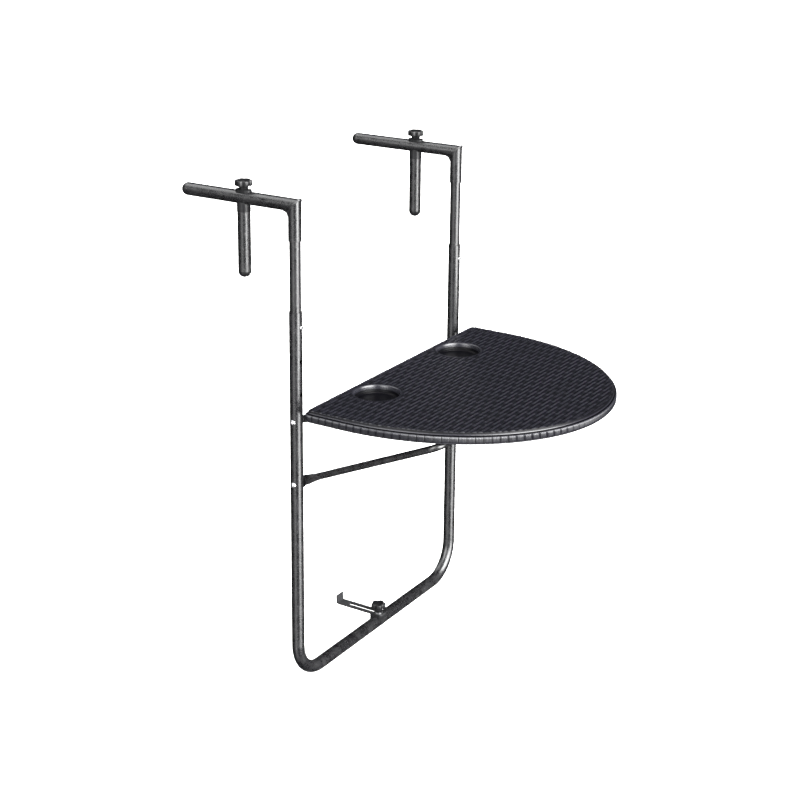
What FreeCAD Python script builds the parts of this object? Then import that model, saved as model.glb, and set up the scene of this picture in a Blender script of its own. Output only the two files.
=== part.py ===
import FreeCAD, Part
import math
import os

from FreeCAD import Placement, Rotation, Vector

# Balcony railing bar table, in millimetres. A U-shaped tube frame hangs in front of a railing
# from two hooks. Each hook telescopes into the frame and locks with a snap button, and each
# carries a hanging peg that clamps the rail. A D-shaped top with two cup wells folds on the
# frame and is held level by a swinging prop. A slotted brace steadies the foot of the frame.
#
# Frame: the origin is midway between the hooks, on the axis plane of the upright tubes, at the
# level of the arm undersides, where the rail bears. +X runs to the right-hand upright, +Y over
# the railing and +Z up, so the top stands out towards -Y.

# Frame tube
post_spacing = 520.0
frame_tube_d = 22.0
frame_tube_wall = 1.2
frame_drop = 670.0
frame_bend_r = 65.0

# Telescoping inner tubes and their row of lock holes
inner_tube_wall = 1.2
hole_count = 3
hole_pitch = 58.0
top_hole_drop = 26.0
inner_tube_tail = 41.0
stop_gap = 4.0

# Hooks over the rail
hook_tube_d = 22.0
hook_tube_wall = 1.2
sleeve_length = 48.0
arm_reach = 228.0
slot_near = 48.0
slot_far = 196.0
corner_web = 8.0
corner_web_width = 11.0
corner_web_sink = 3.0

# Plastic caps and plugs
plug_length = 14.0
plug_wall = 2.0

# Snap buttons
button_d = 7.6
button_proud = 2.2
button_edge = 1.1
spring_width = 8.0
spring_thickness = 0.8
spring_length = 34.0
spring_foot = 1.6

# Clamping pegs and their thumb knobs
peg_drop = 124.5
peg_set_left = 102.0
peg_set_right = 88.0
saddle_lip = 0.5
saddle_rise = 4.5
saddle_skirt = 12.0
saddle_plug = 22.0
screw_d = 6.0
nut_across_flats = 10.0
nut_height = 5.0
nut_depth = 17.0
clamp_screw_end = 2.0
cover_length = 30.0
cover_width = 16.0
cover_height = 2.5
knob_d = 29.4
knob_head = 11.0
knob_head_edge = 1.8
knob_neck_d = 15.6
knob_neck = 5.8
knob_lobes = 6
lobe_cut_d = 8.4
lobe_cut_offset = 1.6

# Pivots, rivets and spacers
table_pivot_drop = 190.8
prop_pivot_drop = 112.2
rivet_d = 6.0
rivet_head_d = 9.6
rivet_head = 3.0
rivet_tail = 2.0
washer_d = 12.0
washer_thickness = 1.0
spacer_d = 22.0
spacer_thickness = 2.0

# Top: straight sides, a bowed front, and a rim rolled around a raised field
side_overhang = 23.0
table_depth = 411.6
side_straight = 58.6
back_gap = 25.4
back_corner_r = 16.0
outline_power = 2.03
outline_spans = 4
rim_height = 20.3
rim_step = 5.8
rim_wall = 7.0
roll_edge_r = 3.5
lower_edge = 2.5
shoulder_inset = 4.2
shoulder_r = 3.0
top_skin = 4.0
rib_thickness = 2.6
rib_recess = 1.0
rib_pitch = 66.0
cup_d = 75.0
cup_spacing = 278.0
cup_setback = 56.6
cup_depth = 15.0
cup_floor = 2.2
cup_wall = 2.6
cup_foot = 2.0

# Hinge brackets under the top
bracket_thickness = 3.0
bracket_length = 96.0
bracket_drop = 8.5
bracket_flange = 23.0
bracket_eye_r = 7.0
bracket_slant = 8.0
bracket_root = 10.0
bracket_screw_count = 3
bracket_screw_inset = 6.0
bracket_screw_first = 18.0
bracket_screw_last = 8.0

# Prop that holds the top level
prop_tube_d = 12.0
prop_tube_wall = 1.2
prop_length = 290.0
prop_bend_r = 17.0
prop_flat_width = 17.0
prop_flat_thickness = 3.0
prop_flat_length = 14.0
prop_taper_length = 20.0
prop_vent_d = 4.0

# Catches that hold the prop
catch_spacing = 220.0
catch_width = 30.0
catch_base = 3.0
catch_wall = 5.0
catch_wall_drop = 9.0
catch_ramp = 12.0
catch_screw_clear = 8.0
release_step = 4.0

# Pan-head screws under the top
screw_shank_d = 4.0
screw_head_d = 8.0
screw_head = 1.8
screw_crown = 0.9
screw_bite = 8.0
screw_end_gap = 1.5
boss_d = 11.0

# Brace at the foot of the frame
brace_width = 20.0
brace_thickness = 3.0
brace_reach = 88.0
brace_tail = 12.0
brace_lip = 17.0
brace_bend_r = 3.0
brace_corner_r = 5.0
brace_slot_travel = 62.0
brace_saddle_rise = 2.5
brace_cheek_height = 2.5
brace_saddle_length = 26.0
brace_washer_d = 16.0
brace_washer_thickness = 1.5
star_knob_d = 28.0
star_knob_head = 11.0
star_knob_head_edge = 2.2
star_knob_neck = 7.0
star_knob_neck_d = 15.0
star_knob_lobes = 5
star_lobe_cut_d = 9.6
star_lobe_cut_offset = 1.7
rivet_nut_wall = 1.5
rivet_nut_rim = 1.5
rivet_nut_length = 7.0
rivet_nut_flange = 1.0
brace_screw_bite = 6.0

# Clearances
slide_gap = 0.3
turn_gap = 0.05
snug_gap = 0.1
fold_gap = 0.5

# Sizes and places that follow from the ones above
inner_tube_d = frame_tube_d - 2 * frame_tube_wall - 2 * slide_gap
slot_width = screw_d + 2 * slide_gap
saddle_d = hook_tube_d + 2 * saddle_lip
table_width = post_spacing + 2 * side_overhang
bow_depth = table_depth - back_corner_r - side_straight
rivet_nut_shank_d = screw_d + 2 * rivet_nut_wall
rivet_nut_flange_d = rivet_nut_shank_d + 2 * rivet_nut_rim
arm_z = hook_tube_d / 2
frame_r = frame_tube_d / 2
half_spacing = post_spacing / 2
height_travel = (hole_count - 1) * hole_pitch
frame_top_z = -(sleeve_length + height_travel + stop_gap)
top_hole_z = frame_top_z - top_hole_drop
inner_tube_low_z = top_hole_z - inner_tube_tail
table_pivot_z = frame_top_z - table_pivot_drop
prop_pivot_z = table_pivot_z - prop_pivot_drop
frame_low_z = frame_top_z - frame_drop
post_inner_x = half_spacing - frame_r
underside_z = table_pivot_z + frame_r + fold_gap
top_z = underside_z + rim_height
roll_z = top_z - rim_step
skin_z = top_z - top_skin
ear_outer_x = post_inner_x - washer_thickness
ear_inner_x = ear_outer_x - bracket_thickness
prop_flat_outer_x = post_inner_x - spacer_thickness
prop_flat_inner_x = prop_flat_outer_x - prop_flat_thickness
prop_tube_x = post_inner_x - fold_gap - prop_tube_d / 2
prop_bar_z = underside_z - slide_gap - prop_tube_d / 2
prop_angle = math.degrees(math.asin((prop_bar_z - prop_pivot_z) / prop_length))
prop_bar_y = -prop_length * math.cos(math.radians(prop_angle))
dome_r = hook_tube_d / 2
knob_seat_z = hook_tube_d + cover_height
brace_low_z = frame_low_z + frame_r + brace_saddle_rise
brace_top_z = brace_low_z + brace_thickness
star_knob_z = brace_top_z + brace_washer_thickness

X_AXIS = Vector(1, 0, 0)
Y_AXIS = Vector(0, 1, 0)
Z_AXIS = Vector(0, 0, 1)


def cylinder(diameter, start, end):
    """A solid rod between two points."""
    run = end - start
    return Part.makeCylinder(diameter / 2, run.Length, start, run)


def box(low, high):
    """A block between its lowest and highest corners."""
    size = high - low
    return Part.makeBox(size.x, size.y, size.z, low)


def tube(outer, wall, start, end):
    """A round tube between two points."""
    return cylinder(outer, start, end).cut(cylinder(outer - 2 * wall, start, end))


def turned(profile, axis_point, axis):
    """A full turn of a closed list of points and arcs about an axis."""
    return Part.Face(Part.Wire(profile)).revolve(axis_point, axis, 360)


def edge(start, end):
    """A straight edge."""
    return Part.LineSegment(start, end).toShape()


def arc(start, middle, end):
    """A circular edge through three points."""
    return Part.Arc(start, middle, end).toShape()


def polygon(points):
    """A flat face inside a closed run of straight edges."""
    return Part.Face(Part.makePolygon(points + [points[0]]))


def mirrored(shape):
    """The same shape on the other side of the middle plane."""
    return shape.mirror(Vector(0, 0, 0), X_AXIS)


def stadium_prism(length, width, low, height, along):
    """An upright prism with two straight sides and two round ends, centred on low."""
    half = (length - width) / 2
    block = Part.makeBox(2 * half, width, height, Vector(-half, -width / 2, 0))
    for end in (-half, half):
        block = block.fuse(Part.makeCylinder(width / 2, height, Vector(end, 0, 0)))
    block = block.removeSplitter()
    if along == "y":
        block.rotate(Vector(0, 0, 0), Z_AXIS, 90)
    block.translate(low)
    return block


def hexagon_prism(across_flats, low, height):
    """A hexagonal bar standing on low."""
    corner = across_flats / math.sqrt(3)
    points = []
    for step in range(6):
        angle = math.radians(60 * step)
        points.append(low + Vector(corner * math.cos(angle), corner * math.sin(angle), 0))
    return polygon(points).extrude(Vector(0, 0, height))


def u_path(half_width, low, high, radius):
    """A U-shaped path in the XZ plane, open at the top."""
    straight = half_width - radius
    turn_z = low + radius
    dip = radius * math.sqrt(0.5)
    return Part.Wire([
        edge(Vector(-half_width, 0, high), Vector(-half_width, 0, turn_z)),
        arc(
            Vector(-half_width, 0, turn_z),
            Vector(-straight - dip, 0, turn_z - dip),
            Vector(-straight, 0, low),
        ),
        edge(Vector(-straight, 0, low), Vector(straight, 0, low)),
        arc(Vector(straight, 0, low), Vector(straight + dip, 0, turn_z - dip), Vector(half_width, 0, turn_z)),
        edge(Vector(half_width, 0, turn_z), Vector(half_width, 0, high)),
    ])


def swept_round(path, diameter, start, direction):
    """A round section swept along a path."""
    disc = Part.Face(Part.Wire([Part.Circle(start, direction, diameter / 2).toShape()]))
    return path.makePipe(disc)


def make_frame():
    """The bent U-shaped tube with its lock holes, pivot holes and brace hole."""
    start = Vector(-half_spacing, 0, frame_top_z)
    path = u_path(half_spacing, frame_low_z, frame_top_z, frame_bend_r)
    bore = frame_tube_d - 2 * frame_tube_wall
    frame = swept_round(path, frame_tube_d, start, Z_AXIS).cut(swept_round(path, bore, start, Z_AXIS))
    cuts = []
    for side in (-1, 1):
        x = side * half_spacing
        for step in range(hole_count):
            z = top_hole_z - step * hole_pitch
            cuts.append(cylinder(button_d + 2 * slide_gap, Vector(x, 0, z), Vector(x, -frame_r - 1, z)))
        for z in (table_pivot_z, prop_pivot_z):
            out = frame_r + 1
            cuts.append(cylinder(rivet_d + 2 * turn_gap, Vector(x - out, 0, z), Vector(x + out, 0, z)))
    nut_low = Vector(0, 0, frame_low_z)
    nut_high = Vector(0, 0, frame_low_z + frame_r + 1)
    cuts.append(cylinder(rivet_nut_shank_d + 2 * snug_gap, nut_low, nut_high))
    return frame.cut(cuts)


def make_inner_tube(x):
    """The straight tube that telescopes in the frame, with its button hole."""
    high = -snug_gap - hook_tube_wall
    body = tube(inner_tube_d, inner_tube_wall, Vector(x, 0, inner_tube_low_z), Vector(x, 0, high))
    hole = cylinder(
        button_d + 2 * slide_gap,
        Vector(x, 0, top_hole_z),
        Vector(x, -inner_tube_d, top_hole_z),
    )
    return body.cut(hole)


def hook_core(x, diameter, tip_y, sleeve_low_z):
    """An L of round bar, mitred at the corner over the upright."""
    reach = arm_reach + hook_tube_d
    wedge = polygon([
        Vector(x - reach, -reach, arm_z + reach),
        Vector(x - reach, reach, arm_z - reach),
        Vector(x - reach, -reach, arm_z - reach),
    ]).extrude(Vector(2 * reach, 0, 0))
    upright = cylinder(diameter, Vector(x, 0, sleeve_low_z), Vector(x, 0, hook_tube_d + 1)).common(wedge)
    arm = cylinder(diameter, Vector(x, -hook_tube_d, arm_z), Vector(x, tip_y, arm_z)).cut(wedge)
    return upright.fuse(arm).removeSplitter()


def make_hook(x):
    """The welded hook: a sleeve over the inner tube and a slotted arm over the rail."""
    arm_end = arm_reach - dome_r
    outer = hook_core(x, hook_tube_d, arm_end, -sleeve_length)
    face = hook_tube_d / 2
    sink = corner_web_sink
    web = Part.Face(Part.Wire([
        edge(Vector(x, face - sink, sink), Vector(x, face + corner_web, sink)),
        edge(Vector(x, face + corner_web, sink), Vector(x, face + corner_web, 0)),
        arc(
            Vector(x, face + corner_web, 0),
            Vector(x, face + corner_web * (1 - math.sqrt(0.5)), -corner_web * (1 - math.sqrt(0.5))),
            Vector(x, face, -corner_web),
        ),
        edge(Vector(x, face, -corner_web), Vector(x, face - sink, -corner_web)),
        edge(Vector(x, face - sink, -corner_web), Vector(x, face - sink, sink)),
    ])).extrude(Vector(corner_web_width, 0, 0))
    web.translate(Vector(-corner_web_width / 2, 0, 0))
    outer = outer.fuse(web).removeSplitter()
    arm_bore = hook_core(x, hook_tube_d - 2 * hook_tube_wall, arm_end, 0)
    sleeve_bore = cylinder(
        inner_tube_d + 2 * snug_gap, Vector(x, 0, -sleeve_length), Vector(x, 0, -hook_tube_wall)
    )
    slot_length = slot_far - slot_near + slot_width
    slot = stadium_prism(
        slot_length, slot_width, Vector(x, (slot_near + slot_far) / 2, -1), hook_tube_d + 2, "y"
    )
    return outer.cut([arm_bore, sleeve_bore, slot])


def domed_plug(diameter, bore):
    """A domed end cap with a hollow plug, standing on the origin with its dome upwards."""
    radius = diameter / 2
    plug_r = bore / 2 - snug_gap
    inner_r = plug_r - plug_wall
    slant = math.sqrt(0.5)
    return turned([
        edge(Vector(0, 0, 0), Vector(inner_r, 0, 0)),
        edge(Vector(inner_r, 0, 0), Vector(inner_r, 0, -plug_length)),
        edge(Vector(inner_r, 0, -plug_length), Vector(plug_r, 0, -plug_length)),
        edge(Vector(plug_r, 0, -plug_length), Vector(plug_r, 0, 0)),
        edge(Vector(plug_r, 0, 0), Vector(radius, 0, 0)),
        arc(Vector(radius, 0, 0), Vector(radius * slant, 0, radius * slant), Vector(0, 0, radius)),
        edge(Vector(0, 0, radius), Vector(0, 0, 0)),
    ], Vector(0, 0, 0), Z_AXIS)


def make_arm_cap(x):
    """The domed plug that closes the arm."""
    cap = domed_plug(hook_tube_d, hook_tube_d - 2 * hook_tube_wall)
    cap.Placement = Placement(Vector(x, arm_reach - dome_r, arm_z), Rotation(X_AXIS, -90))
    return cap


def make_snap_button(x):
    """A bent leaf spring in the inner tube with a round button that shows through both tubes."""
    bore_r = inner_tube_d / 2 - inner_tube_wall
    leg_y = math.sqrt(bore_r ** 2 - (spring_width / 2) ** 2) - snug_gap
    thick = spring_thickness
    high = top_hole_z + button_d
    low = high - spring_length
    foot = spring_foot
    strip = polygon([
        Vector(x, -leg_y, high),
        Vector(x, -leg_y, top_hole_z - button_d),
        Vector(x, -foot, low),
        Vector(x, foot, low),
        Vector(x, leg_y, top_hole_z - button_d),
        Vector(x, leg_y, high),
        Vector(x, leg_y - thick, high),
        Vector(x, leg_y - thick, top_hole_z - button_d),
        Vector(x, foot - thick / 2, low + thick),
        Vector(x, -foot + thick / 2, low + thick),
        Vector(x, -leg_y + thick, top_hole_z - button_d),
        Vector(x, -leg_y + thick, high),
    ]).extrude(Vector(spring_width, 0, 0))
    strip.translate(Vector(-spring_width / 2, 0, 0))
    tip_y = -frame_r - button_proud
    button = cylinder(button_d, Vector(x, -leg_y + thick / 2, top_hole_z), Vector(x, tip_y, top_hole_z))
    rim = [e for e in button.Edges if e.BoundBox.YMax < tip_y + 0.01]
    button = button.makeChamfer(button_edge, rim)
    return strip.fuse(button)


def make_peg_saddle(x, y):
    """The moulded peg top, hollowed to fit the arm and bored for the screw and its nut."""
    plug_d = hook_tube_d - 2 * hook_tube_wall - 2 * snug_gap
    body = cylinder(saddle_d, Vector(x, y, -saddle_skirt), Vector(x, y, saddle_rise))
    body = body.fuse(cylinder(plug_d, Vector(x, y, -saddle_skirt - saddle_plug), Vector(x, y, -saddle_skirt)))
    arm = cylinder(
        hook_tube_d + 2 * slide_gap, Vector(x, y - saddle_d, arm_z), Vector(x, y + saddle_d, arm_z)
    )
    bore = cylinder(screw_d + 2 * slide_gap, Vector(x, y, -nut_depth - nut_height), Vector(x, y, arm_z))
    pocket_low = -saddle_skirt - saddle_plug
    pocket = hexagon_prism(nut_across_flats + 2 * snug_gap, Vector(x, y, pocket_low), -nut_depth - pocket_low)
    return body.cut([arm, bore, pocket]).removeSplitter()


def make_peg_nut(x, y):
    """The hexagonal nut held in the peg top."""
    low = -nut_depth - nut_height
    nut = hexagon_prism(nut_across_flats, Vector(x, y, low), nut_height)
    return nut.cut(cylinder(screw_d + 2 * turn_gap, Vector(x, y, low - 1), Vector(x, y, -nut_depth + 1)))


def make_peg_tube(x, y):
    """The straight tube of the clamping peg."""
    low = Vector(x, y, -peg_drop + dome_r)
    return tube(hook_tube_d, hook_tube_wall, low, Vector(x, y, -saddle_skirt))


def make_peg_cap(x, y):
    """The domed plug at the foot of the peg."""
    cap = domed_plug(hook_tube_d, hook_tube_d - 2 * hook_tube_wall)
    cap.Placement = Placement(Vector(x, y, -peg_drop + dome_r), Rotation(X_AXIS, 180))
    return cap


def make_slot_cover(x, y):
    """The saddle-shaped pad between the thumb knob and the slotted arm."""
    low = hook_tube_d / 2 + cover_width / 2
    pad = stadium_prism(cover_length, cover_width, Vector(x, y, low), knob_seat_z - low, "y")
    arm = cylinder(
        hook_tube_d + 2 * snug_gap,
        Vector(x, y - cover_length, arm_z),
        Vector(x, y + cover_length, arm_z),
    )
    bore = cylinder(screw_d + 2 * slide_gap, Vector(x, y, 0), Vector(x, y, knob_seat_z + 1))
    return pad.cut([arm, bore])


def lobed_knob(diameter, head, edge_cut, neck_d, neck, lobes, cut_d, cut_offset, low):
    """A star knob: a round neck under a disc with scalloped sides and a chamfered top."""
    head_low = low + Vector(0, 0, neck)
    disc = Part.makeCylinder(diameter / 2, head, head_low)
    scallops = []
    for step in range(lobes):
        angle = math.radians(360 * (step + 0.5) / lobes)
        ring = diameter / 2 + cut_offset
        centre = head_low + Vector(ring * math.cos(angle), ring * math.sin(angle), -1)
        scallops.append(Part.makeCylinder(cut_d / 2, head + 2, centre))
    disc = disc.cut(scallops)
    top = head_low.z + head
    rim = [e for e in disc.Edges if e.BoundBox.ZMin > top - 0.01]
    disc = disc.makeChamfer(edge_cut, rim)
    stem = Part.makeCylinder(neck_d / 2, neck + head / 2, low)
    return disc.fuse(stem).removeSplitter()


def make_clamp_knob(x, y):
    """The thumb knob on top of the arm, bored for its screw."""
    low = Vector(x, y, knob_seat_z + snug_gap)
    knob = lobed_knob(
        knob_d, knob_head, knob_head_edge, knob_neck_d, knob_neck,
        knob_lobes, lobe_cut_d, lobe_cut_offset, low
    )
    return knob.cut(cylinder(screw_d, low - Z_AXIS, low + Vector(0, 0, knob_neck + knob_head / 2)))


def make_clamp_screw(x, y):
    """The screw moulded in the thumb knob, down through the arm into the peg's nut."""
    high = knob_seat_z + snug_gap + knob_neck + knob_head / 2
    return cylinder(screw_d, Vector(x, y, -nut_depth - nut_height - clamp_screw_end), Vector(x, y, high))


def make_rivet(z, stack_inner_x):
    """A domed rivet through the right-hand upright and what turns on it."""
    head_x = half_spacing + frame_r
    tail_x = stack_inner_x - rivet_tail
    radius = rivet_head_d / 2
    shank_r = rivet_d / 2
    dome_radius = (radius ** 2 + rivet_head ** 2) / (2 * rivet_head)
    dome_x = head_x + rivet_head - dome_radius
    half_angle = math.asin(radius / dome_radius) / 2
    return turned([
        edge(Vector(tail_x, 0, z), Vector(tail_x, 0, z + radius)),
        edge(Vector(tail_x, 0, z + radius), Vector(stack_inner_x, 0, z + radius)),
        edge(Vector(stack_inner_x, 0, z + radius), Vector(stack_inner_x, 0, z + shank_r)),
        edge(Vector(stack_inner_x, 0, z + shank_r), Vector(head_x, 0, z + shank_r)),
        edge(Vector(head_x, 0, z + shank_r), Vector(head_x, 0, z + radius)),
        arc(
            Vector(head_x, 0, z + radius),
            Vector(dome_x + dome_radius * math.cos(half_angle), 0, z + dome_radius * math.sin(half_angle)),
            Vector(head_x + rivet_head, 0, z),
        ),
        edge(Vector(head_x + rivet_head, 0, z), Vector(tail_x, 0, z)),
    ], Vector(0, 0, z), X_AXIS)


def make_washer(z, diameter, thickness):
    """A flat washer on the inner side of the right-hand upright."""
    outer = Vector(post_inner_x, 0, z)
    inner = Vector(post_inner_x - thickness, 0, z)
    ring = cylinder(diameter, inner, outer)
    return ring.cut(cylinder(rivet_d + 2 * turn_gap, inner - X_AXIS, outer + X_AXIS))


def both_sides(shape):
    """A piece and its mirror twin as one group of two solids."""
    return Part.makeCompound([mirrored(shape), shape])


def tangent_arc(start, heading, end):
    """The arc that leaves a start point along a heading and passes through an end point."""
    chord = end - start
    turn = heading.getAngle(chord)
    side = heading - chord * (heading.dot(chord) / chord.dot(chord))
    middle = start + chord * 0.5 + side.normalize() * (chord.Length / 2 * math.tan(turn / 2))
    return arc(start, middle, end)


def biarc(start, heading, end, leaving):
    """Two arcs that meet smoothly and join two points, each with its own heading."""
    chord = end - start
    both = heading + leaving
    spread = 2 * (1 - heading.dot(leaving))
    along = chord.dot(both)
    reach = (math.sqrt(along ** 2 + spread * chord.dot(chord)) - along) / spread
    meet = (start + end + (heading - leaving) * reach) * 0.5
    return [tangent_arc(start, heading, meet), tangent_arc(end, -leaving, meet)]


def outline(inset):
    """The closed outline of the top, with straight sides and a bowed front, drawn in by an inset."""
    half_width = table_width / 2 - inset
    back_y = -back_gap - inset
    corner_r = back_corner_r - inset
    corner_y = back_y - corner_r
    bow_y = -back_gap - table_depth + bow_depth
    depth = bow_depth - inset
    power = 2 / outline_power
    places = []
    headings = []
    for step in range(-outline_spans, outline_spans + 1):
        angle = math.pi / 2 * step / outline_spans
        side = abs(math.sin(angle))
        front = math.cos(angle)
        out = math.copysign(half_width * side ** power, step)
        places.append(Vector(out, bow_y - depth * front ** power, 0))
        slope_x = half_width * front * side ** (power - 1) if step else 1.0
        slope_y = depth * side * front ** (power - 1) if abs(step) < outline_spans else 1.0
        if abs(step) == outline_spans:
            slope_x = 0.0
        if step == 0:
            slope_y = 0.0
        headings.append(Vector(slope_x, math.copysign(slope_y, step), 0).normalize())
    places[0] = Vector(-half_width, bow_y, 0)
    places[-1] = Vector(half_width, bow_y, 0)
    edges = []
    for step in range(2 * outline_spans):
        edges += biarc(places[step], headings[step], places[step + 1], headings[step + 1])
    slant = corner_r * math.sqrt(0.5)
    flat = half_width - corner_r
    right = Vector(half_width, corner_y, 0)
    left = Vector(-half_width, corner_y, 0)
    edges += [
        edge(places[-1], right),
        arc(right, Vector(flat + slant, corner_y + slant, 0), Vector(flat, back_y, 0)),
        edge(Vector(flat, back_y, 0), Vector(-flat, back_y, 0)),
        arc(Vector(-flat, back_y, 0), Vector(-flat - slant, corner_y + slant, 0), left),
        edge(left, places[0]),
    ]
    return Part.Wire(Part.__sortEdges__(edges))


def slab(inset, low, high):
    """A slab of the top's outline between two levels."""
    block = Part.Face(outline(inset)).extrude(Vector(0, 0, high - low))
    block.translate(Vector(0, 0, low))
    return block


def cup_centres():
    """The centres of the two cup wells, in the plane of the top."""
    y = -back_gap - cup_setback
    return [Vector(side * cup_spacing / 2, y, 0) for side in (-1, 1)]


def bracket_screw_places():
    """Where the hinge bracket screws go on the right-hand side."""
    x = ear_outer_x - bracket_flange + bracket_screw_inset
    first = back_gap + bracket_screw_first
    last = bracket_length - bracket_screw_last
    places = []
    for step in range(bracket_screw_count):
        y = first + (last - first) * step / (bracket_screw_count - 1)
        places.append(Vector(x, -y, 0))
    return places


def catch_screw_places():
    """Where the catch screws go, clear of the prop on both sides."""
    places = []
    for side in (-1, 1):
        x = side * catch_spacing / 2
        behind_y = catch_wall_y() + catch_wall / 2 + catch_screw_clear
        ahead_y = prop_bar_y - catch_ramp - catch_screw_clear
        places += [Vector(x, behind_y, 0), Vector(x, ahead_y, 0)]
    return places


def catch_wall_y():
    """The face of the catch that the prop rests against, on the railing side."""
    return prop_bar_y + prop_tube_d / 2 + slide_gap


def make_top():
    """The moulded top: skin, rolled rim, ribs, cup wells, screw bosses and catch pockets."""
    roll = slab(0, underside_z, roll_z)
    upper = [e for e in roll.Edges if e.BoundBox.ZMin > roll_z - 0.01]
    lower = [e for e in roll.Edges if e.BoundBox.ZMax < underside_z + 0.01]
    roll = roll.makeFillet(roll_edge_r, upper).makeChamfer(lower_edge, lower)
    field = slab(shoulder_inset, roll_z - 1, top_z)
    shoulder = [e for e in field.Edges if e.BoundBox.ZMin > top_z - 0.01]
    body = roll.fuse(field.makeFillet(shoulder_r, shoulder))
    body = body.cut(slab(rim_wall, underside_z - 1, skin_z))
    inside = slab(rim_wall, underside_z + rib_recess, skin_z)
    ribs = []
    rib_low = underside_z + rib_recess
    half_count = int(table_width / 2 / rib_pitch)
    far_y = -back_gap - table_depth
    for step in range(-half_count, half_count + 1):
        x = step * rib_pitch
        ribs.append(box(
            Vector(x - rib_thickness / 2, far_y, rib_low),
            Vector(x + rib_thickness / 2, 0, skin_z),
        ))
    cross = int(table_depth / rib_pitch)
    for step in range(1, cross + 1):
        y = -back_gap - step * rib_pitch
        ribs.append(box(
            Vector(-table_width, y - rib_thickness / 2, rib_low),
            Vector(table_width, y + rib_thickness / 2, skin_z),
        ))
    grid = ribs[0].fuse(ribs[1:]).common(inside)
    cup_low = top_z - cup_depth
    wells = []
    hollows = []
    for centre in cup_centres():
        low = centre + Vector(0, 0, cup_low)
        foot_z = low - Vector(0, 0, cup_floor)
        wells.append(Part.makeCylinder(cup_d / 2 + cup_wall, skin_z - foot_z.z + 1, foot_z))
        hollow = Part.makeCylinder(cup_d / 2, cup_depth + 1, low)
        foot = [e for e in hollow.Edges if e.BoundBox.ZMax < cup_low + 0.01]
        hollows.append(hollow.makeChamfer(cup_foot, foot))
    bosses = []
    holes = []
    for place in bracket_screw_places():
        for side in (-1, 1):
            spot = Vector(side * place.x, place.y, underside_z)
            bosses.append(Part.makeCylinder(boss_d / 2, skin_z - underside_z, spot))
            holes.append(Part.makeCylinder(screw_shank_d / 2 + snug_gap, screw_bite, spot))
    base_z = underside_z + catch_base
    for place in catch_screw_places():
        spot = Vector(place.x, place.y, base_z + snug_gap)
        bosses.append(Part.makeCylinder(boss_d / 2, skin_z - spot.z, spot))
        holes.append(Part.makeCylinder(screw_shank_d / 2 + snug_gap, screw_bite, spot))
    pockets = []
    for side in (-1, 1):
        pocket = catch_plan(side, slide_gap).extrude(Vector(0, 0, catch_base + snug_gap + 1))
        pocket.translate(Vector(0, 0, underside_z - 1))
        pockets.append(pocket)
    grid = grid.cut(pockets)
    body = body.fuse([grid] + wells + bosses)
    return body.cut(hollows + holes).removeSplitter()


def catch_plan(side, margin):
    """The plan of one catch base."""
    places = catch_screw_places()
    x = side * catch_spacing / 2
    half = catch_width / 2 + margin
    high_y = places[0].y + boss_d / 2 + margin
    low_y = places[1].y - boss_d / 2 - margin
    return polygon([
        Vector(x - half, low_y, 0),
        Vector(x + half, low_y, 0),
        Vector(x + half, high_y, 0),
        Vector(x - half, high_y, 0),
    ])


def prop_release_slope():
    """How steeply the prop's bar leaves the top, from the way both fold together."""
    ratio = prop_fold_ratio()
    step = math.radians(release_step)
    start = math.radians(prop_angle)
    drop = prop_pivot_drop
    reach = prop_length * math.cos(start + step - ratio * step) + drop * math.sin(step)
    level = prop_length * math.sin(start + step - ratio * step) - drop * math.cos(step)
    first_reach = prop_length * math.cos(start)
    first_level = prop_length * math.sin(start) - drop
    return math.atan2(first_level - level, reach - first_reach)


def prop_fold_ratio():
    """Degrees that the prop swings for each degree that the top folds."""
    return (90.0 + prop_angle) / 90.0


def make_catch(side):
    """One catch: a recessed base, a wall behind the prop's bar and a ramp in front of it."""
    x = side * catch_spacing / 2
    base = catch_plan(side, 0).extrude(Vector(0, 0, catch_base))
    base.translate(Vector(0, 0, underside_z))
    wall_y = catch_wall_y()
    half = catch_width / 2
    wall = box(
        Vector(x - half, wall_y, underside_z - catch_wall_drop),
        Vector(x + half, wall_y + catch_wall, underside_z + catch_base / 2),
    )
    slope = prop_release_slope()
    clear = prop_tube_d / 2 + slide_gap
    root = (clear - clear * math.cos(slope)) / math.sin(slope)
    tip = root + catch_ramp
    depth = catch_ramp * math.tan(slope)
    ramp = polygon([
        Vector(x - half, prop_bar_y - root - slide_gap, underside_z + catch_base / 2),
        Vector(x - half, prop_bar_y - root - slide_gap, underside_z),
        Vector(x - half, prop_bar_y - tip, underside_z - depth + slide_gap),
        Vector(x - half, prop_bar_y - tip - 1, underside_z + catch_base / 2),
    ]).extrude(Vector(catch_width, 0, 0))
    catch = base.fuse([wall, ramp]).removeSplitter()
    holes = []
    for place in catch_screw_places():
        if place.x * side > 0:
            low = Vector(place.x, place.y, underside_z - catch_wall_drop - 1)
            high = Vector(place.x, place.y, underside_z + catch_base + 1)
            holes.append(cylinder(screw_shank_d + 2 * snug_gap, low, high))
    return catch.cut(holes)


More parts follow.
